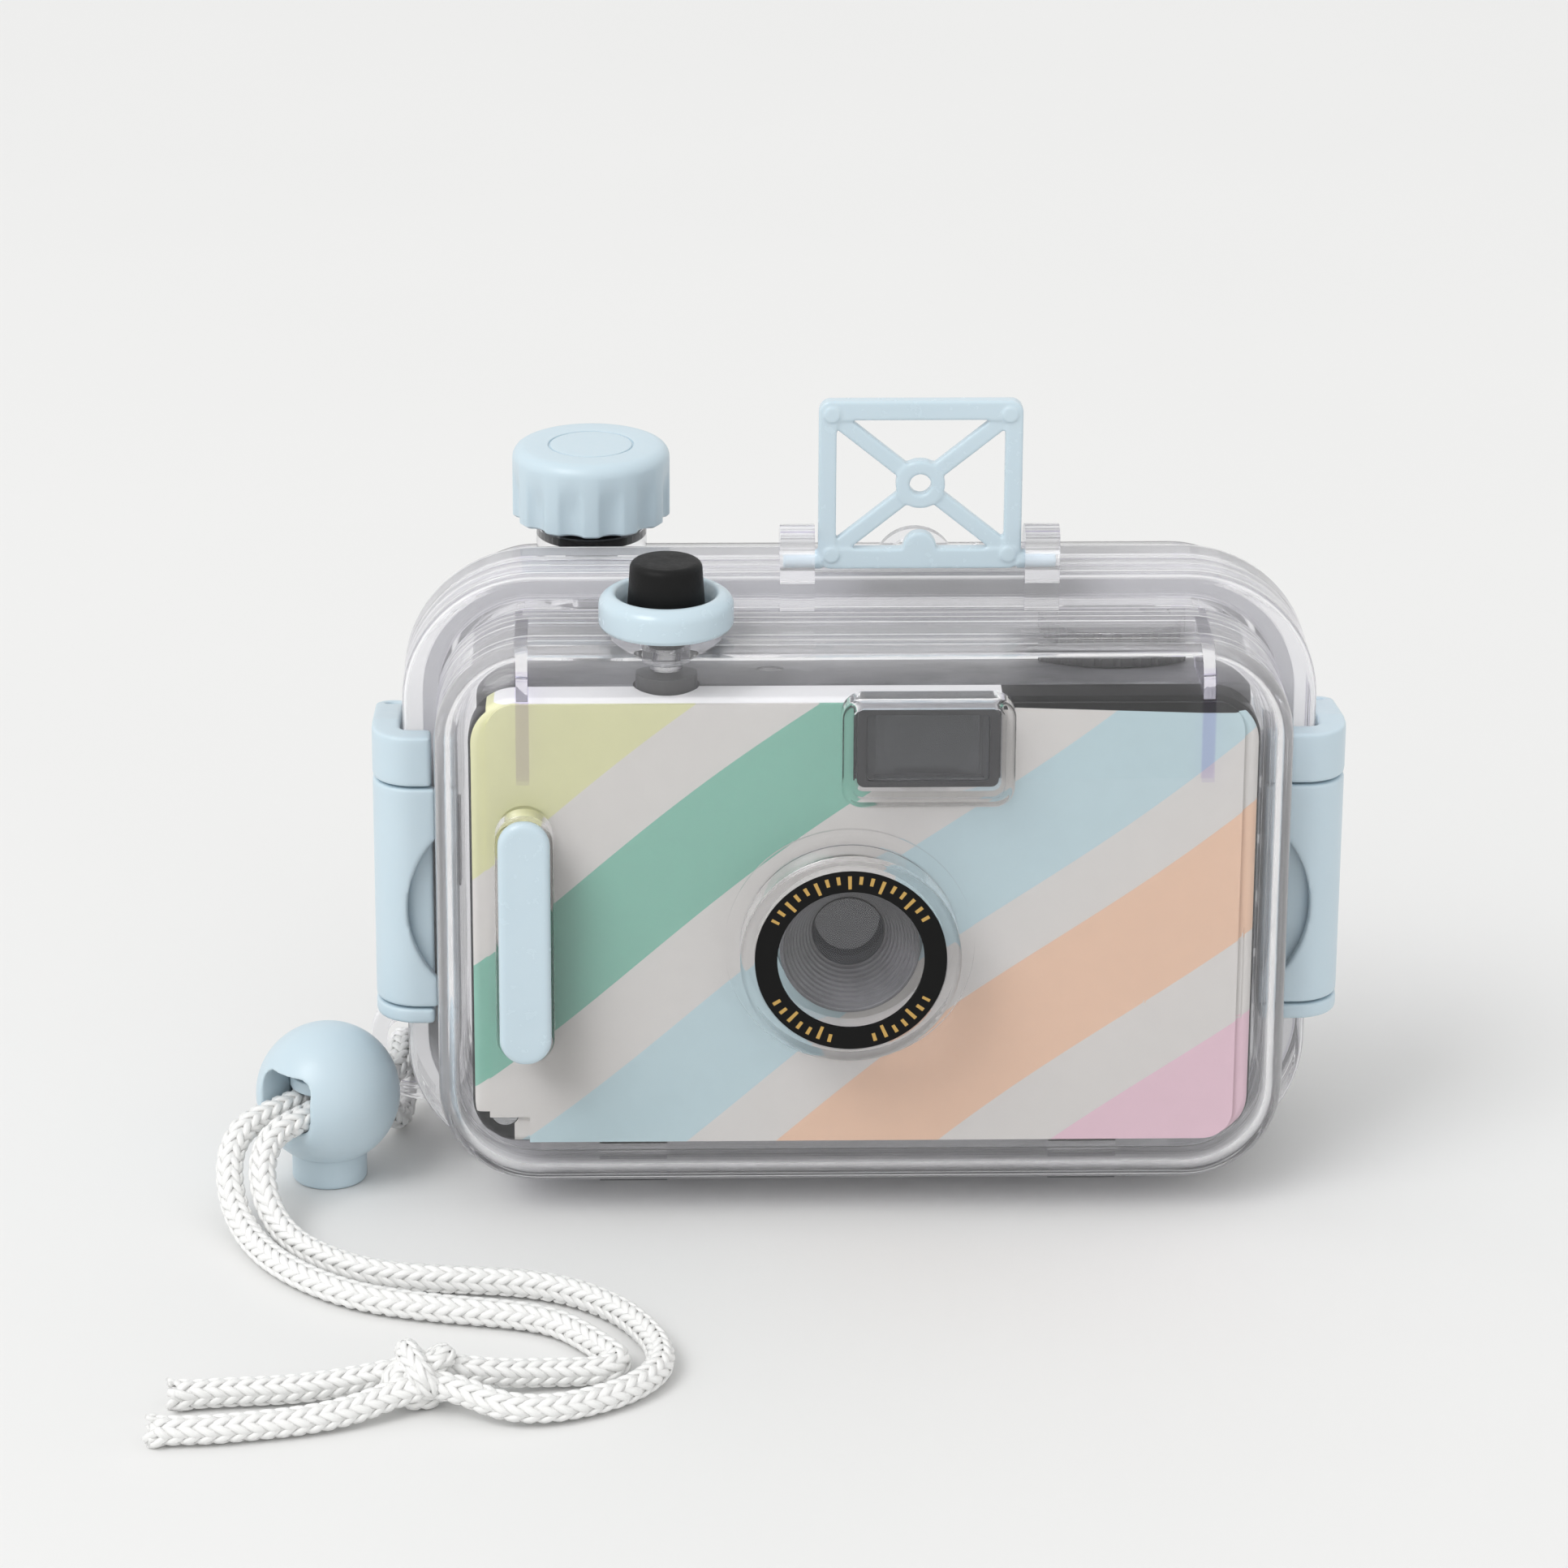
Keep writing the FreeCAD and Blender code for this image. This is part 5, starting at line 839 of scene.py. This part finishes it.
def turned(name, corners, x, depth, z, forward=False, steps=96, closed=False, smooth=38):
    # a profile of (radius, height or depth, rounding), spun about an upright or forward axis
    spots = []
    for radius, reach in roundedLine(corners, closed):
        spots.append(place(x, reach, z + radius) if forward
                     else place(x + radius, depth, reach))
    if closed:
        spots.append(spots[0].copy())
    bpy.ops.mesh.primitive_plane_add(size=0.001, location=spots[0])
    piece = bpy.context.object
    piece.name = name
    bpy.ops.object.transform_apply(location=True, rotation=True, scale=True)
    bpy.ops.object.mode_set(mode="EDIT")
    bpy.ops.mesh.select_mode(type="VERT")
    bpy.ops.mesh.select_all(action="SELECT")
    bpy.ops.mesh.merge(type="CENTER")
    for first, last in zip(spots, spots[1:]):
        bpy.ops.mesh.extrude_region_move(TRANSFORM_OT_translate={"value": last - first})
    bpy.ops.mesh.select_all(action="SELECT")
    bpy.ops.mesh.spin(steps=steps, angle=2 * math.pi, center=place(x, depth, z),
                      axis=(0, 1, 0) if forward else (0, 0, 1))
    bpy.ops.mesh.select_all(action="SELECT")
    weld()
    outward()
    bpy.ops.object.mode_set(mode="OBJECT")
    bpy.ops.object.shade_smooth_by_angle(angle=math.radians(smooth))
    return piece


def mouldedCopy(name, node, grain, rounds, keep=1.0):
    # a CAD piece with its edges softened as moulding leaves them
    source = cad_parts[node]
    piece = source.copy()
    piece.data = source.data.copy()
    piece.name = name
    piece.parent = None
    for key in list(piece.keys()):
        del piece[key]
    bpy.context.scene.collection.objects.link(piece)
    editAll(piece, weld)
    for layer in list(piece.data.attributes):
        if layer.name == "custom_normal":
            piece.data.attributes.remove(layer)
    remesh = piece.modifiers.new("remesh", "REMESH")
    remesh.mode, remesh.voxel_size, remesh.use_smooth_shade = "VOXEL", grain * mm, True
    soften = piece.modifiers.new("soften", "SMOOTH")
    soften.factor, soften.iterations = 0.5, rounds
    if keep < 1:
        piece.modifiers.new("thin", "DECIMATE").ratio = keep
    for modifier in list(piece.modifiers):
        bpy.ops.object.modifier_apply(modifier=modifier.name)
    bpy.ops.object.shade_smooth()
    return piece


# fluteHalf is half a flute's angle; its depth fades out between two shares of the height
knob = {"x": -35.2, "depth": -9.9, "radius": 10.45, "low": 84.4, "high": 94.3, "round": 2.9,
        "edge": 0.35, "wallStep": 0.5, "wallSteps": 12, "lobes": 12, "flute": 0.85,
        "fluteHalf": 9.2, "fadeStart": 0.28, "fadeEnd": 0.86,
        "capRadius": 5.45, "groove": 0.28, "grooveDepth": 0.26}


def addKnob(looks):
    low, high, radius = knob["low"], knob["high"], knob["radius"]
    cap, sink = knob["capRadius"], knob["grooveDepth"]
    foot = low + knob["edge"]
    wall = [(radius, foot + knob["wallStep"] * step, 0)
            for step in range(1, knob["wallSteps"] + 1)]
    corners = ([(0, low, 0), (radius - 0.45, low, 0.3), (radius, foot, 0)] + wall
               + [(radius, high, knob["round"]), (cap + knob["groove"], high, 0.12),
                  (cap + knob["groove"] - 0.06, high - sink, 0), (cap + 0.04, high - sink, 0),
                  (cap - 0.02, high - 0.02, 0.1), (cap - 1.2, high, 0.5), (0, high, 0)])
    piece = turned("windKnobGrip", corners, knob["x"], knob["depth"], low, steps=240)
    centre = place(knob["x"], knob["depth"], 0)
    pitch = 360 / knob["lobes"]
    for vertex in piece.data.vertices:
        offset = Vector((vertex.co.x - centre.x, vertex.co.y - centre.y, 0))
        if offset.length < (cap + 1.0) * mm:
            continue
        turn = math.degrees(math.atan2(offset.y, offset.x)) % pitch - pitch / 2
        bowl = max(0.0, 1 - (turn / knob["fluteHalf"]) ** 2)
        share = (vertex.co.z / mm - low) / (high - low)
        fade = min(max((knob["fadeEnd"] - share) / (knob["fadeEnd"] - knob["fadeStart"]), 0), 1)
        depth = knob["flute"] * bowl ** 0.8 * fade * fade * (3 - 2 * fade) * mm
        vertex.co -= offset.normalized() * min(depth, offset.length * 0.2)
    piece.data.update()
    dress(piece, looks["light_blue"], "wind_knob_group", "light_blue", "wind_knob",
          "wind_knob_cap")
    print("knob made")


button = {"x": -25.5, "depth": 23.4, "collarLow": 80.6, "collarHigh": 85.1,
          "collarRadius": 8.7, "collarBore": 5.75, "bootLow": 83.5, "bootHigh": 89.3,
          "bootRadius": 4.98, "bootTop": 4.62, "bootWall": 1.6}


def addButton(looks):
    low, high = button["collarLow"], button["collarHigh"]
    radius, bore = button["collarRadius"], button["collarBore"]
    corners = [(bore, low, 0.2), (radius - 0.35, low, 0.3), (radius, low + 0.5, 0.5),
               (radius, high - 0.9, 1.9), (radius - 1.3, high, 1.1),
               (bore + 0.9, high, 0.9), (bore + 0.1, high - 1.6, 1.2)]
    collar = turned("buttonCollar", corners, button["x"], button["depth"], low, closed=True,
                    smooth=60)
    dress(collar, looks["light_blue_gloss"], "housing", "light_blue", "shutter_collar")
    low, high, wall = button["bootLow"], button["bootHigh"], button["bootWall"]
    inner = button["bootRadius"] - wall  # a hollow cup, so that it goes down over its neck
    corners = [(0, high - wall, 0), (inner, high - wall, 0.3), (inner, low, 0.1),
               (button["bootRadius"], low, 0.2), (button["bootTop"], high, 0.95),
               (2.4, high, 1.0), (0, high - 0.06, 0)]
    boot = turned("buttonBoot", corners, button["x"], button["depth"], low, smooth=60)
    dress(boot, looks["soft_rubber"], "shutter_button_group", "soft_rubber", "shutter_boot")
    print("button made")


# name, CAD node, body, slot, voxel size, smoothing rounds and share of faces kept
moulded = (
    ("sightFrame", "sight_frame", "sight_frame_group", "light_blue_gloss", 0.17, 9, 1.0),
    ("gripBar", "grip_bar", "housing", "light_blue_gloss", 0.2, 16, 1.0),
    ("rightLatchFrame", "right_latch_frame", "right_latch", "light_blue", 0.24, 22, 0.5),
    ("leftLatchFrame", "left_latch_frame", "left_latch", "light_blue", 0.24, 22, 0.5),
    ("rightLatchLever", "right_latch_lever", "right_lever", "light_blue", 0.22, 24, 0.5),
    ("leftLatchLever", "left_latch_lever", "left_lever", "light_blue", 0.22, 24, 0.5),
    ("cordLockBall", "cord_lock_body", "housing", "light_blue", 0.24, 5, 0.5),
    ("cordLockPlunger", "cord_lock_plunger", "cord_lock_button", "light_blue", 0.2, 4, 0.5))


def addMoulded(looks):
    for name, node, body, slot, grain, rounds, keep in moulded:
        piece = mouldedCopy(name, node, grain, rounds, keep)
        dress(piece, looks[slot], body, slot, node)
        print(name, len(piece.data.polygons), "faces")


springs = {"lockSpring": {"node": "cord_lock_spring", "joint": "cord_lock_press",
                          "x": cord["lockX"], "depth": cord["lockDepth"], "travel": 3.0,
                          "fixed": max},
           "buttonSpring": {"node": "shutter_spring", "joint": "shutter_press",
                            "x": button["x"], "depth": button["depth"], "travel": 2.5,
                            "fixed": min}}


def addSprings():
    # both springs are copied from their CAD nodes and hung on the housing; their fixed end is
    # found, but nothing shortens them
    for name, spring in springs.items():
        piece = bpy.data.objects.new(name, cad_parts[spring["node"]].data.copy())
        bpy.context.scene.collection.objects.link(piece)
        editAll(piece, weld)
        heights = [vertex.co.z / mm for vertex in piece.data.vertices]
        anchor = place(spring["x"], spring["depth"], spring["fixed"](heights))
        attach(piece, "housing")
        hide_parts(spring["node"])
        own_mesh(piece)
    print("springs made")


# the stepped throat of the lens and the camera's own finder
cone = {"x": -1.9, "z": 39.7, "outer": 9.1, "front": 33.2, "back": 25.6, "mouth": 8.55,
        "stepFrom": 8.1, "stepTo": 4.75, "steps": 9, "stepFront": 32.2, "stepBack": 27.3,
        "bore": 3.3}


def addCone(looks):
    corners = [(cone["outer"], cone["back"], 0), (cone["outer"], cone["front"], 0.25),
               (cone["mouth"], cone["front"], 0.15)]
    count = cone["steps"]
    for index in range(count):
        share = index / (count - 1)
        radius = cone["stepFrom"] + (cone["stepTo"] - cone["stepFrom"]) * share
        depth = cone["stepFront"] + (cone["stepBack"] - cone["stepFront"]) * share
        last = corners[-1][0]
        corners += [(last - 0.08, depth, 0.05), (radius, depth, 0.05)]
    corners += [(cone["stepTo"] - 0.05, 26.5, 0.1), (cone["bore"], 26.3, 0.2),
                (cone["bore"], cone["back"], 0)]
    piece = turned("lensCone", corners, cone["x"], 0, cone["z"], forward=True, steps=128,
                   closed=True, smooth=30)
    look = plastic("coneBlack", colours["charcoal"], colours["coverGrey"], 0.34,
                   grain=(0.002, 900.0), coat=0.2)
    dress(piece, look, "housing", "black_gloss", "lens_cone")
    print("lens cone made")


finder = {"x": 7.9, "z": 67.2, "width": 19.0, "height": 9.6, "depth": 29.6, "behind": 0.25,
          "dish": 1.6, "dishEdge": 0.35, "dishBowl": 0.55, "dishRadius": 8.3,
          "lensRadius": 5.6, "lensRise": 0.5}


def addFinder(looks):
    # the dark dish seen in the camera's own finder
    bpy.ops.mesh.primitive_grid_add(x_subdivisions=96, y_subdivisions=48, size=1)
    piece = bpy.context.object
    piece.name = "finderDish"

    def thicken():
        bpy.ops.mesh.extrude_region_move(TRANSFORM_OT_translate={"value": (0, 0, -1)})
        bpy.ops.mesh.select_all(action="SELECT")

    editAll(piece, thicken, outward)
    for vertex in piece.data.vertices:
        x, z = vertex.co.x * finder["width"], vertex.co.y * finder["height"]
        reach = math.hypot(x, z)
        depth = finder["depth"] + finder["dish"]
        if vertex.co.z < -0.5:
            depth = finder["depth"] - finder["behind"]
        elif reach < finder["dishRadius"]:
            share = reach / finder["dishRadius"]
            bowl = finder["dishBowl"] * (1 - share * share)
            depth -= finder["dish"] * (finder["dishEdge"] + bowl)
            if reach < finder["lensRadius"]:
                depth += finder["lensRise"] * (1 - (reach / finder["lensRadius"]) ** 2)
        vertex.co = place(finder["x"] + x, depth, finder["z"] + z)
    editAll(piece, outward)
    bpy.ops.object.shade_smooth_by_angle(angle=math.radians(25))
    dress(piece, looks["black_gloss"], "housing", "black_gloss")
    print("finder dish made")


addCamera()
addFloor()
addLight()
addCords()
looks = dressNodes()
addKnob(looks)
addButton(looks)
addMoulded(looks)
addSprings()
addCone(looks)
addFinder(looks)
